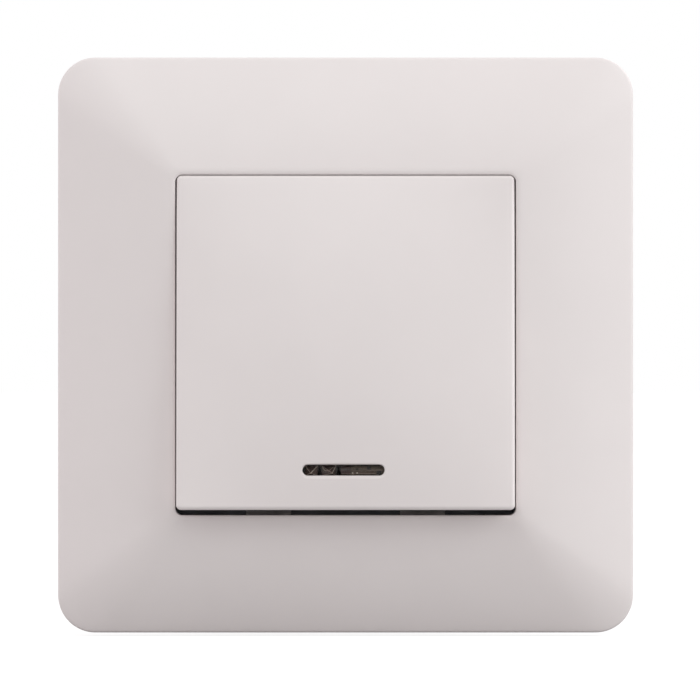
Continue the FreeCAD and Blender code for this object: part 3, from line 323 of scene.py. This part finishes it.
def linear(red, green, blue):
    """A colour as seen on screen, 0 to 255, as a shader colour."""
    channels = []
    for value in (red, green, blue):
        value /= 255
        channels.append(value / 12.92 if value <= 0.04045 else ((value + 0.055) / 1.055) ** 2.4)
    return tuple(channels)


def satin_plastic(name, colour, roughness=0.42, grain=0.004):
    """Moulded plastic with a fine spark-eroded grain and faint flow."""
    made = Finish(name, colour, roughness, Specular_IOR_Level=0.4)
    made.vary_colour(made.noise(0.08, detail=3), shade(colour, 0.985))
    fine = made.noise(6.0, detail=3)
    made.vary_roughness(fine, 0.05)
    made.bump(fine, grain)
    made.bump(made.noise(0.05), 0.02, strength=0.5)
    return made.material


def sheet_steel(name, colour=(0.60, 0.61, 0.62), along=(0.05, 1, 1), roughness=0.34):
    """Zinc plated steel, drawn along one axis and slightly clouded."""
    made = Finish(name, colour, roughness, Metallic=1.0)
    made.vary_colour(made.noise(0.35, detail=5), shade(colour, 0.86))
    lines = made.noise(9.0, stretch=along, detail=3)
    made.vary_roughness(lines, 0.09)
    made.bump(lines, 0.003)
    return made.material


def brass(name, colour=(0.72, 0.50, 0.22), along=(1, 1, 1)):
    """Brass with light tarnish and fine tool marks."""
    made = Finish(name, colour, 0.3, Metallic=1.0)
    made.vary_colour(made.noise(0.6, detail=6), (0.58, 0.37, 0.16))
    marks = made.noise(10.0, stretch=along, detail=2)
    made.vary_roughness(marks, 0.1)
    made.bump(marks, 0.003)
    return made.material


def clear_plastic(name, colour, roughness=0.08, bends=1.49):
    """Clear moulded plastic or glass, a little uneven; bends is how much it refracts."""
    made = Finish(name, colour, roughness, Transmission_Weight=1.0, IOR=bends)
    made.vary_roughness(made.noise(2.0), 0.03)
    made.bump(made.noise(0.8, detail=3), 0.004)
    return made.material


WHITE = linear(238, 232, 231)
frame_white = satin_plastic("frame_satin", WHITE)
key_white = satin_plastic("key_satin", WHITE)
inner_white = satin_plastic("inner_satin", linear(222, 220, 214), roughness=0.5, grain=0.008)
housing_grey = satin_plastic("housing_satin", linear(196, 196, 192), roughness=0.55, grain=0.012)
cover_dark = satin_plastic("cover_satin", linear(58, 58, 61), roughness=0.5, grain=0.008)
plunger_dark = satin_plastic("plunger_satin", linear(70, 72, 75), roughness=0.45, grain=0.008)
holder_dark = satin_plastic("holder_satin", linear(60, 60, 62), roughness=0.5, grain=0.008)
resistor_tan = satin_plastic("resistor_coat", linear(196, 168, 124), roughness=0.4)
# The support plate's steel is painted far darker than the other zinc parts. This is painted shade, so that
# the gap round the key looks dark.
plate_steel_painted_dark = sheet_steel("plate_zinc_painted_shade", colour=(0.2, 0.2, 0.21), roughness=0.55)
claw_steel = sheet_steel("claw_zinc", colour=(0.56, 0.57, 0.58), along=(1, 0.05, 1), roughness=0.38)
screw_steel = sheet_steel("screw_zinc", colour=(0.63, 0.64, 0.65), along=(1, 1, 1), roughness=0.28)
spring_steel = sheet_steel("spring_wire", colour=(0.5, 0.5, 0.52), along=(1, 1, 1), roughness=0.25)
strip_brass = brass("strip_brass", along=(1, 1, 0.08))
block_brass = brass("block_brass", colour=(0.68, 0.47, 0.2), along=(1, 0.08, 1))
silver = sheet_steel("contact_silver", colour=(0.82, 0.82, 0.80), along=(1, 1, 1), roughness=0.22)
tinned = sheet_steel("tinned_wire", colour=(0.66, 0.66, 0.64), along=(1, 1, 1), roughness=0.3)


# Carried-over pieces keep their solids and get edges and a finish

smoothing = smooth_group()


def dress(name, material, edge):
    piece = nodes[name]
    if edge:
        weld = piece.modifiers.new("weld", "WELD")
        weld.merge_threshold = 0.002 * MM
        flat = piece.modifiers.new("flat", "DECIMATE")
        flat.decimate_type = "DISSOLVE"
        flat.angle_limit = math.radians(0.5)
    smooth = piece.modifiers.new("smooth", "NODES")
    smooth.node_group = smoothing
    if edge:
        soften(piece, edge)
    piece.data.materials.clear()
    piece.data.materials.append(material)
    return piece


for name, material, edge in [
    ("rocker_cradle", inner_white, 0.12),
    ("mechanism_cover", cover_dark, 0.12),
    ("base_housing", housing_grey, 0.2),
    ("support_plate", plate_steel_painted_dark, 0.1),
    ("plunger", plunger_dark, 0.12),
    ("lamp_holder", holder_dark, 0.1),
    ("contact_bridge", strip_brass, 0.06),
    ("contact_strip_left", strip_brass, 0.08),
    ("contact_strip_right", strip_brass, 0.08),
    ("terminal_block_left", block_brass, 0.15),
    ("terminal_block_right", block_brass, 0.15),
    ("claw_left", claw_steel, 0.1),
    ("claw_right", claw_steel, 0.1),
    ("fixed_contact_left", silver, 0),
    ("fixed_contact_right", silver, 0),
    ("moving_contact_left", silver, 0),
    ("moving_contact_right", silver, 0),
    ("lamp_lead_left", tinned, 0),
    ("lamp_lead_right", tinned, 0),
    ("lamp_resistor", resistor_tan, 0),
]:
    dress(name, material, edge)


# Cover frame: one closed skin with the model's form

def face_height(share):
    return RISE - FALL * ((1 - BOW) * share + BOW * share * share)


def face_share(x, z):
    """How far from opening to outline a point of the frame's face lies, over the soft diagonal ridges."""
    x, z = abs(x), abs(z)
    reach = FRAME_HALF - FACE_START
    share = (max(x, z) - FACE_START) / reach

    def corner(share):
        radius = OPENING_CORNER + RIDGE_GROWTH * reach * share
        return FACE_START + reach * share - radius, radius

    centre, radius = corner(share)
    if min(x, z) <= centre:
        return max(share, 0)
    low, high = share, 1.6
    for _ in range(30):
        middle = (low + high) / 2
        centre, radius = corner(middle)
        if math.hypot(max(x - centre, 0), max(z - centre, 0)) > radius:
            low = middle
        else:
            high = middle
    return max(low, 0)


def ring_at(half, radius, height):
    """A ring round the frame; height is a number or a rule for each point."""
    points = rounded_square(half, half, radius)
    return [(x, -(height(x, z) if callable(height) else height), z) for x, z in points]


def over_face(drop=0.0):
    return lambda x, z: face_height(face_share(x, z)) - drop


def frame_skin():
    """The frame's closed skin: up the opening, over the face, down the outline and back along the inside."""
    rings = [ring_at(OPENING_HALF, OPENING_CORNER, COLLAR_FOOT)]
    rounding = [math.pi / 2 * step / 5 for step in range(6)]
    for turn in rounding:
        out = OPENING_RIM * (1 - math.cos(turn))
        drop = OPENING_DROP * (1 - math.sin(turn))
        rings.append(ring_at(OPENING_HALF + out, OPENING_CORNER + out, RISE - drop))
    outer_start = FRAME_HALF - FRAME_EDGE
    corner_start = FRAME_CORNER - FRAME_EDGE
    first_radius = OPENING_CORNER + OPENING_RIM
    steps = 40
    for step in range(steps + 1):
        share = step / steps
        half = FACE_START + (outer_start - FACE_START) * share
        radius = first_radius + (corner_start - first_radius) * share
        rings.append(ring_at(half, radius, over_face()))
    for turn in rounding[1:]:
        out = FRAME_EDGE * math.sin(turn)
        drop = FRAME_EDGE * (1 - math.cos(turn))
        rings.append(ring_at(outer_start + out, corner_start + out, over_face(drop)))
    rings.append(ring_at(FRAME_HALF, FRAME_CORNER, FOOT_EASE))
    rings.append(ring_at(FRAME_HALF - FOOT_EASE, FRAME_CORNER - FOOT_EASE, 0))
    inner = FRAME_HALF - FRAME_WALL
    inner_corner = FRAME_CORNER - FRAME_WALL + INNER_EASE
    rings.append(ring_at(inner, inner_corner, 0))
    steps = 12
    for step in range(steps + 1):
        share = step / steps
        half = inner + (COLLAR_HALF - inner) * share
        radius = inner_corner + (COLLAR_CORNER - inner_corner) * share
        rings.append(ring_at(half, radius, over_face(FRAME_WALL)))
    rings.append(ring_at(COLLAR_HALF, COLLAR_CORNER, COLLAR_FOOT))
    return sweep(rings, closed_rings=True)


def frame_arms(side, end):
    """Leg, shoulder, arm and hook in one quarter of the frame."""
    def block(x_span, z_span, low, high):
        xs, zs = sorted(x * side for x in x_span), sorted(z * end for z in z_span)
        return box_part((xs[0], -high, zs[0]), (xs[1], -low, zs[1]))

    leg = COLLAR_HALF - LEG_LONG
    arm = (ARM_PLACE - ARM_HALF, ARM_PLACE + ARM_HALF)
    shoulder = (ARM_PLACE - SHOULDER_HALF, ARM_PLACE + SHOULDER_HALF)
    into_collar = COLLAR_FOOT + JOIN
    hook = [(0, COLLAR_HALF * end), (0, (COLLAR_HALF + HOOK_OUT) * end), (HOOK_BACK, COLLAR_HALF * end)]
    return [
        block((leg, COLLAR_HALF), (OPENING_HALF, COLLAR_HALF), PLATE_THICK, into_collar),
        block((OPENING_HALF, COLLAR_HALF), (leg, OPENING_HALF), PLATE_THICK, into_collar),
        block(shoulder, (COLLAR_HALF - SHOULDER_THICK, COLLAR_HALF), PLATE_THICK, SHOULDER_HEIGHT),
        block(arm, (COLLAR_HALF - ARM_THICK, COLLAR_HALF), -HOOK_BACK, into_collar),
        sweep([[(x, y, z) for y, z in hook] for x in sorted(x * side for x in arm)], capped=True),
    ]


def make_frame():
    parts = [frame_skin()]
    for side in (-1, 1):
        for end in (-1, 1):
            parts.extend(frame_arms(side, end))
    made = new_object("frame_skin", *gather(*parts), smooth_angle=38)
    made.data.materials.append(frame_white)
    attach(made, "housing")
    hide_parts("cover_frame")
    return made


make_frame()


# Key: a cushioned face with a window slot, on a skirt, modelled level about the pivot

def window_outline(grow, steps=16):
    """The window's outline with round ends, grown by so much."""
    radius = WINDOW_HALF_HIGH + grow
    reach = WINDOW_HALF_LONG - WINDOW_HALF_HIGH
    points = []
    for end in (1, -1):
        for step in range(steps + 1):
            turn = math.pi * (step / steps - 0.5) + (0 if end == 1 else math.pi)
            points.append((WINDOW_X + reach * end + radius * math.cos(turn),
                           WINDOW_Z + radius * math.sin(turn)))
    return points


def direction(point):
    return math.atan2(point[1] - WINDOW_Z, point[0] - WINDOW_X) % math.tau


def cast(outline, directions):
    """Where rays from the window's middle cross an outline round it."""
    corners = sorted(outline, key=direction)
    corners.append(corners[0])
    points, index = [], 0
    for turn in directions:
        while index < len(corners) - 2 and direction(corners[index]) < turn:
            index += 1
        start, end = corners[index - 1 if index else -2], corners[index]
        if direction(end) < turn:
            start, end = end, corners[index + 1]
        ray = (math.cos(turn), math.sin(turn))
        from_middle = (start[0] - WINDOW_X, start[1] - WINDOW_Z)
        along = (end[0] - start[0], end[1] - start[1])
        across = along[0] * ray[1] - along[1] * ray[0]
        share = 0 if abs(across) < 1e-12 else (from_middle[1] * ray[0] - from_middle[0] * ray[1]) / across
        share = min(max(share, 0), 1)
        points.append((start[0] + along[0] * share, start[1] + along[1] * share))
    return points


def crown(x, z):
    """Rise of the key's cushioned face above its edge."""
    across = max(1 - (x / KEY_HALF_WIDE) ** 2, 0)
    up = max(1 - (z / KEY_HALF_HIGH) ** 2, 0)
    return KEY_CROWN * across * up


def make_key():
    def square(inset, corner=KEY_CORNER):
        return rounded_square(KEY_HALF_WIDE - inset, KEY_HALF_HIGH - inset, max(corner - inset, 0.1))

    outer = square(0)
    directions = sorted({round(direction(point), 7) for point in outer + window_outline(0)})
    slot = cast(window_outline(0), directions)
    wide_slot = [(x, z - RIM_LOW * min(max((WINDOW_Z - z) / RIM_BLEND, 0), 1))
                 for x, z in cast(window_outline(RIM_WIDE), directions)]

    def ring(points, height):
        return [(x, -(height(x, z) if callable(height) else height), z) for x, z in points]

    def between(inner, outside, share):
        return [(a[0] + (b[0] - a[0]) * share, a[1] + (b[1] - a[1]) * share) for a, b in zip(inner, outside)]

    def drafted(points, height):
        """The skirt's lower wall leans in, so that it hides behind the face's edge."""
        lean = math.tan(math.radians(SKIRT_LEAN)) * (KEY_FACE - KEY_EDGE - height)
        return [(x, z + lean * min(max((-z - LEAN_START) / LEAN_FULL, 0), 1)) for x, z in points]

    inner = cast(square(KEY_WALL, KEY_WALL + KEY_CORNER), directions)
    rings = [ring(slot, KEY_INSIDE)]
    rings += [ring(between(slot, inner, share), KEY_INSIDE) for share in (0.3, 0.7, 1)]
    rings.append(ring(inner, KEY_BACK))
    rings.append(ring(drafted(cast(square(FOOT_EASE), directions), KEY_BACK), KEY_BACK))
    rings.append(ring(drafted(cast(outer, directions), KEY_BACK + FOOT_EASE), KEY_BACK + FOOT_EASE))
    rings.append(ring(cast(outer, directions), KEY_FACE - KEY_EDGE))
    steps = 7
    for step in range(1, steps + 1):
        turn = math.pi / 2 * step / steps
        inset = KEY_EDGE * (1 - math.cos(turn))
        drop = KEY_EDGE * (1 - math.sin(turn))
        edge = cast(square(inset), directions)
        rings.append(ring(edge, lambda x, z, drop=drop: KEY_FACE + crown(x, z) - drop))
    steps = 44
    for step in range(1, steps + 1):
        share = 1 - step / steps
        rings.append(ring(between(wide_slot, edge, share ** 1.5), lambda x, z: KEY_FACE + crown(x, z)))
    for drop, share in ((0.06, 0.5), (0.12, 0.12), (0.2, 0)):
        rings.append(ring(between(slot, wide_slot, share),
                          lambda x, z, drop=drop: KEY_FACE + crown(x, z) - drop))
    parts = [sweep(rings, closed_rings=True)]
    for side in (-1, 1):
        xs = sorted((RIB_X * side, (RIB_X + RIB_THICK) * side))
        parts.append(box_part((xs[0], -KEY_INSIDE, -RIB_HALF), (xs[1], -KEY_INSIDE + RIB_DEEP, RIB_HALF)))
        for end in (-1, 1):
            hook = [(KEY_INSIDE, CLIP_Z), (CLIP_CATCH, CLIP_Z), (CLIP_CATCH, CLIP_Z - CLIP_NOSE),
                    (CLIP_TIP, CLIP_Z), (CLIP_TIP, CLIP_Z + CLIP_THICK), (KEY_INSIDE, CLIP_Z + CLIP_THICK)]
            ends = (CLIP_X * side - CLIP_HALF, CLIP_X * side + CLIP_HALF)
            parts.append(sweep([[(x, -height, z * end) for height, z in hook] for x in ends], capped=True))
    key = new_object("key_shell", *gather(*parts), smooth_angle=38)
    key.data.transform(TILTED)
    return finish_piece(key, "key", "push_key", "key_plastic", key_white)


make_key()


# Light window: a clear lens over its dark, faceted inside

def make_lens():
    front = KEY_FACE + crown(WINDOW_X, WINDOW_Z) - LENS_SINK
    lip_back = KEY_INSIDE - LENS_LIP_THICK
    profile = [(LENS_LIP - 0.1, lip_back), (LENS_LIP, lip_back + 0.1), (LENS_LIP, KEY_INSIDE),
               (-LENS_PLAY, KEY_INSIDE), (-LENS_PLAY, front - 0.06), (-LENS_PLAY - 0.04, front)]
    rings = [[(x, -height, z) for x, z in window_outline(grow)] for grow, height in profile]
    lens = new_object("lens_clear", *sweep(rings, capped=True))
    lens.data.transform(TILTED)
    return finish_piece(lens, "key", "window_lens", "lens_plastic",
                        clear_plastic("lens_clear", (0.96, 0.93, 0.9), bends=1.12))


# Shades of the window's inside. The three facet shades are lit and shaded copies of one surface, so they are
# painted light and shade. The line shades are painted highlights and the bead shade is a painted glint.
CORE_SHADES = {
    "base": (28, 18, 16), "shaded_side_facet": (54, 42, 39), "lit_right_facet": (74, 62, 58), "half_lit_top_facet": (60, 49, 46),
    "line": (136, 123, 116), "bright_line": (196, 186, 177), "black": (6, 2, 2),
    "arch": (62, 50, 50), "bed": (80, 71, 63), "glint_bead": (216, 209, 197),
}


def make_lens_core():
    """What shows through the lens: two prisms with painted light and shade on their facets, painted highlight
    lines, dark wedges, a tinted arch and a resin bed with two painted glints.
    """
    floor, top, half = 3.95, 4.85, 0.7
    line_height, line_radius = floor + 0.58, 0.035
    parts, kinds = [], []

    def keep(part, kind):
        parts.append(part)
        kinds.extend([list(CORE_SHADES).index(kind)] * len(part[1]))

    def at(x, height, z):
        return (x, -height, WINDOW_Z + z)

    def line(*points, radius=line_radius):
        return tube_part([at(*point) for point in points], radius, sides=6)

    keep(box_part(at(-5.9, floor, -half), at(5.0, floor - 0.3, half)), "base")
    for low, high, middle in ((-5.75, -3.95, -4.95), (-3.4, -1.4, -1.86)):
        base = [(low, floor, -half), (high, floor, -half), (high, floor, half), (low, floor, half)]
        apex = (middle, top, -0.45)
        corners = [at(*point) for point in base + [apex]]
        # Each facet's shade is painted light or shade, by the way that it faces.
        keep((corners, [(0, 1, 4)]), "shaded_side_facet")
        keep((corners, [(1, 2, 4)]), "lit_right_facet")
        keep((corners, [(2, 3, 4)]), "half_lit_top_facet")
        keep((corners, [(3, 0, 4)]), "shaded_side_facet")
        # Light lines along the prism edges are painted highlights, brightest on the upper right edge.
        for corner, kind in zip(base, ("line", "line", "bright_line", "line")):
            keep(line(corner, apex), kind)
    # A curved light line: a painted highlight.
    keep(line((-3.35, floor + 0.5, 0.5), (-2.9, floor + 0.55, -0.05), (-2.4, floor + 0.55, -0.1),
              (-1.7, floor + 0.5, 0.5), radius=0.04), "line")
    for x in (-3.68, -1.0):
        wedge = [at(x - 0.4, floor, -half), at(x + 0.4, floor, -half), at(x, floor, half),
                 at(x, floor + 0.5, -half)]
        keep((wedge, [(0, 1, 2), (0, 3, 1), (1, 3, 2), (2, 3, 0)]), "black")
    arch = [(half * math.cos(math.pi * step / 10), 0.6 * math.sin(math.pi * step / 10)) for step in range(11)]
    keep(sweep([[at(x, floor + rise, z) for z, rise in arch] for x in (-0.65, 0.65)], capped=True), "arch")
    bed = [(-half, 0), (half, 0), (half * 0.8, 0.35), (0.1, 0.5), (-half * 0.7, 0.3)]
    keep(sweep([[at(x, floor + rise, z) for z, rise in bed] for x in (0.7, 5.6)], capped=True), "bed")
    # Two small near-white domes: painted glints.
    for x, z, size in ((1.0, -0.38, 0.1), (1.65, -0.4, 0.13)):
        rings = []
        for rise, share in ((0, 1), (0.6, 0.8), (1, 0.3)):
            turns = [math.tau * step / 8 for step in range(8)]
            rings.append([at(x + size * math.cos(t) * share, floor + 0.45 + size * rise,
                             z + size * math.sin(t) * share) for t in turns])
        keep(sweep(rings, capped=True), "glint_bead")
    for low, high in (((3.05, 0.05), (3.6, 0.5)), ((4.4, -0.6), (5.0, -0.02)), ((1.5, 0.0), (1.8, 0.25))):
        keep(box_part(at(low[0], floor + 0.56, low[1]), at(high[0], floor, high[1])), "black")
    # Two level light lines: painted highlights.
    for level, start, end in ((-0.5, -0.6, 4.3), (0.02, 3.1, 5.2)):
        keep(line((start, line_height, level), (end, line_height, level)), "line")
    core = new_object("lens_core", *gather(*parts), smooth_angle=30)
    for index, kind in enumerate(kinds):
        core.data.polygons[index].material_index = kind
    core.data.transform(TILTED)
    return finish_piece(core, "key", "window_lens", "lens_plastic",
                        *[satin_plastic("core_" + name, linear(*shade_of), roughness=0.3, grain=0.01)
                          for name, shade_of in CORE_SHADES.items()])


make_lens()
make_lens_core()


# Screws with rolled threads and slotted heads

def screw_part(length, head, head_radius, seat, shank):
    """A screw along x from its head's front, with a slot and a rolled thread."""
    sides = 28
    arc_start = math.asin(DRIVE_WIDE / 2 / head_radius)
    parts = []
    for half in (0, math.pi):
        arc = [arc_start + (math.pi - 2 * arc_start) * step / 14 for step in range(15)]
        rings = []
        for x, inset in ((0, 0.14), (0.05, 0.04), (0.14, 0), (DRIVE_DEEP, 0)):
            rings.append([(x, (head_radius - inset) * math.cos(t + half),
                           (head_radius - inset) * math.sin(t + half)) for t in arc])
        parts.append(sweep(rings, capped=True))
    profile = [(DRIVE_DEEP, head_radius), (head, head_radius)] + seat
    turns = [math.tau * step / sides for step in range(sides)]
    rings = [[(x, r * math.cos(t), r * math.sin(t)) for t in turns] for x, r in profile]
    start = profile[-1][0]
    steps = int((length - start) / THREAD_PITCH * 8)
    for step in range(steps + 1):
        x = start + (length - start) * step / steps
        fade = min(1, step / 8, (steps - step) / 12)
        ring = []
        for t in turns:
            tooth = abs((x / THREAD_PITCH - t / math.tau) % 1 * 2 - 1)
            radius = shank - 0.22 * THREAD_PITCH * fade - 0.5 * THREAD_PITCH * fade * (tooth - 0.5)
            radius = min(radius, shank)
            ring.append((x, radius * math.cos(t), radius * math.sin(t)))
        rings.append(ring)
    parts.append(sweep(rings, capped=True))
    return gather(*parts)


def make_screws():
    along_y = Matrix.Rotation(math.pi / 2, 4, "Z")
    along_down = Matrix.Rotation(math.pi / 2, 4, "Y")
    screws = [("claw_screw_" + side, "claw_screw_" + side) for side in ("left", "right")]
    screws += [("housing_screw_%d" % number, "housing") for number in range(1, 5)]
    screws += [("terminal_screw_" + side, "terminal_screw_" + side) for side in ("left", "right")]
    for name, body in screws:
        low, high = [Vector(corner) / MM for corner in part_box(name)]
        middle = (low + high) / 2
        kind = name.split("_")[0]
        if kind == "terminal":
            length = high.z - low.z
            place = Matrix.Translation((middle.x, middle.y, high.z)) @ along_down
        else:
            length = high.y - low.y
            place = Matrix.Translation((middle.x, low.y, middle.z)) @ along_y
        part = screw_part(length, *SCREWS[kind])
        screw = new_object(name.replace("_screw", "_threaded"), *placed(part, place), smooth_angle=32)
        finish_piece(screw, body, name, "screw_steel", screw_steel)


make_screws()


# Coil springs with closed ends

def coil_part(low, high, middle, coil, wire, turns):
    """Round wire wound about a line along y, with one close turn at each end."""
    steps = int(turns * 28)
    free = high - low - wire * 2 - wire * 2 * 2
    path = []
    for step in range(steps + 1):
        turn = turns * step / steps
        rise = wire * 2 * (min(turn, 1) + max(turn - turns + 1, 0))
        rise += free * min(max(turn - 1, 0), turns - 2) / (turns - 2)
        angle = math.tau * turn
        path.append((middle.x + coil * math.cos(angle), low + wire + rise, middle.z + coil * math.sin(angle)))
    return tube_part(path, wire, sides=10)


def make_springs():
    for node, body, form in (("return_spring", "housing", RETURN_COIL),
                             ("bridge_spring", "plunger", BRIDGE_COIL)):
        low, high = [Vector(corner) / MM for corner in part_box(node)]
        part = coil_part(low.y, high.y, (low + high) / 2, *form)
        spring = new_object(node.replace("spring", "coil"), *part, smooth_angle=60)
        finish_piece(spring, body, node, "spring_steel", spring_steel)
        if node == "return_spring":
            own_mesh(spring)


make_springs()


# Glow lamp: a glass tube with two electrodes

def make_lamp():
    low, high = [Vector(corner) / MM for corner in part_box("indicator_lamp")]
    middle = (low + high) / 2
    half, radius = (high.x - low.x) / 2, (high.y - low.y) / 2 - 0.02
    side = []
    for step in range(9):
        turn = math.pi / 2 * step / 8
        side.append((half - LAMP_DOME * (1 - math.sin(turn)),
                     radius * (LAMP_TIP + (1 - LAMP_TIP) * math.cos(turn))))
    profile = [(-x, r) for x, r in reversed(side)] + side
    move = Matrix.Translation(middle)
    glass = new_object("lamp_glass", *placed(turned_part(profile), move), smooth_angle=50)
    finish_piece(glass, "housing", "indicator_lamp", "lamp_glass",
                 clear_plastic("lamp_glass", (0.97, 0.93, 0.88), 0.04))
    rods = []
    for sign in (-1, 1):
        rods.append(tube_part([(half * 0.9 * sign, 0, 0), (half * 0.72 * sign, 0, ROD_APART * sign),
                               (-half * 0.45 * sign, 0, ROD_APART * sign)], ROD_RADIUS, sides=10))
    electrodes = new_object("lamp_electrodes", *placed(gather(*rods), move), smooth_angle=50)
    return finish_piece(electrodes, "housing", "indicator_lamp", "lamp_glass", tinned)


make_lamp()


# Stage, camera and light

def make_stage():
    """A pale floor, plain white but for the object's shadow, that doesn't hide the object from below."""
    size, height = 8.0, -FRAME_HALF * MM - 0.0005
    mesh = bpy.data.meshes.new("floor")
    corners = [(-size, -size), (size, -size), (size, size), (-size, size)]
    mesh.from_pydata([(x, y, height) for x, y in corners], [], [(0, 1, 2, 3)])
    floor = bpy.data.objects.new("floor", mesh)
    bpy.context.scene.collection.objects.link(floor)
    material = bpy.data.materials.new("floor_white")
    material.use_nodes = True
    tree = material.node_tree
    tree.nodes.clear()
    node, link = tree.nodes.new, tree.links.new
    output = node("ShaderNodeOutputMaterial")
    bounce = node("ShaderNodeBsdfDiffuse")
    bounce.inputs["Color"].default_value = (FLOOR_BOUNCE, FLOOR_BOUNCE, FLOOR_BOUNCE, 1)
    plain, lit = node("ShaderNodeEmission"), node("ShaderNodeBsdfDiffuse")
    caught = node("ShaderNodeAddShader")
    plain.inputs["Strength"].default_value = FLOOR_GLOW
    lit.inputs["Color"].default_value = (FLOOR_SHADE, FLOOR_SHADE, FLOOR_SHADE, 1)
    clear = node("ShaderNodeBsdfTransparent")
    path = node("ShaderNodeLightPath")
    side = node("ShaderNodeNewGeometry")
    seen, below = node("ShaderNodeMixShader"), node("ShaderNodeMixShader")
    link(path.outputs["Is Camera Ray"], seen.inputs["Fac"])
    link(bounce.outputs[0], seen.inputs[1])
    link(plain.outputs[0], caught.inputs[0])
    link(lit.outputs[0], caught.inputs[1])
    link(caught.outputs[0], seen.inputs[2])
    link(side.outputs["Backfacing"], below.inputs["Fac"])
    link(seen.outputs[0], below.inputs[1])
    link(clear.outputs[0], below.inputs[2])
    link(below.outputs[0], output.inputs["Surface"])
    floor.data.materials.append(material)


def make_world(ambient, colour):
    """Even light from all round, which the camera, gloss and glass see as plain white."""
    world = bpy.data.worlds.new("studio")
    bpy.context.scene.world = world
    world.use_nodes = True
    tree = world.node_tree
    tree.nodes.clear()
    node, link = tree.nodes.new, tree.links.new
    output = node("ShaderNodeOutputWorld")
    light, plain = node("ShaderNodeBackground"), node("ShaderNodeBackground")
    light.inputs["Color"].default_value = (*colour, 1)
    light.inputs["Strength"].default_value = ambient
    plain.inputs["Color"].default_value = (1, 1, 1, 1)
    path, mix = node("ShaderNodeLightPath"), node("ShaderNodeMixShader")
    either, any_of = node("ShaderNodeMath"), node("ShaderNodeMath")
    either.operation = any_of.operation = "MAXIMUM"
    link(path.outputs["Is Camera Ray"], either.inputs[0])
    link(path.outputs["Is Glossy Ray"], either.inputs[1])
    link(either.outputs[0], any_of.inputs[0])
    link(path.outputs["Is Transmission Ray"], any_of.inputs[1])
    link(any_of.outputs[0], mix.inputs["Fac"])
    link(light.outputs[0], mix.inputs[1])
    link(plain.outputs[0], mix.inputs[2])
    link(mix.outputs[0], output.inputs["Surface"])


def area_light(name, direction, distance, size, power, colour):
    """A square soft light in that direction from the switch, facing it."""
    data = bpy.data.lights.new(name, "AREA")
    data.shape = "SQUARE"
    data.size = size
    data.energy = power
    data.color = colour
    lamp = bpy.data.objects.new(name, data)
    bpy.context.scene.collection.objects.link(lamp)
    towards = Vector(direction).normalized()
    lamp.location = towards * distance
    lamp.rotation_mode = "QUATERNION"
    lamp.rotation_quaternion = towards.to_track_quat("Z", "Y")
    lamp.visible_camera = False


def make_camera():
    """Straight from the front, placed so that frame and key lie where the photograph has them."""
    distance, seen_width, middle_height = 1.4, 0.09986, 0.004
    data = bpy.data.cameras.new("camera")
    data.sensor_width = 36
    data.lens = data.sensor_width * distance / seen_width
    data.clip_start, data.clip_end = 0.05, 20
    camera = bpy.data.objects.new("camera", data)
    bpy.context.scene.collection.objects.link(camera)
    camera.location = (0.00063, -distance - middle_height, -0.00071)
    camera.rotation_euler = (math.pi / 2, 0, 0)
    bpy.context.scene.camera = camera


make_stage()
make_world(0.59, (1.0, 0.937, 0.945))
# Name, direction, distance and size in metres, power in watts, colour
for lamp in [
    ("side_left", (-0.992, -0.087, 0.087), 0.6, 0.35, 0.77, (1.0, 0.94, 0.97)),
    ("side_right", (0.992, -0.087, 0.087), 0.6, 0.35, 0.79, (0.99, 1.0, 1.0)),
    ("upper_right", (0.763, -0.067, 0.643), 0.6, 0.35, 0.63, (0.93, 1.0, 0.98)),
    ("front_left", (-0.72, -0.604, 0.342), 0.6, 0.35, 0.22, (1.0, 0.97, 0.98)),
    ("front_right", (0.72, -0.604, 0.342), 0.6, 0.35, 0.70, (0.97, 0.99, 1.0)),
    ("top", (0.0, -0.087, 0.996), 0.6, 0.35, 0.32, (0.96, 1.0, 0.99)),
    ("near_left", (-0.198, -0.74, 0.643), 0.28, 0.16, 0.08, (0.88, 1.0, 0.97)),
]:
    area_light(*lamp)
make_camera()
bpy.context.scene.view_settings.view_transform = "Standard"
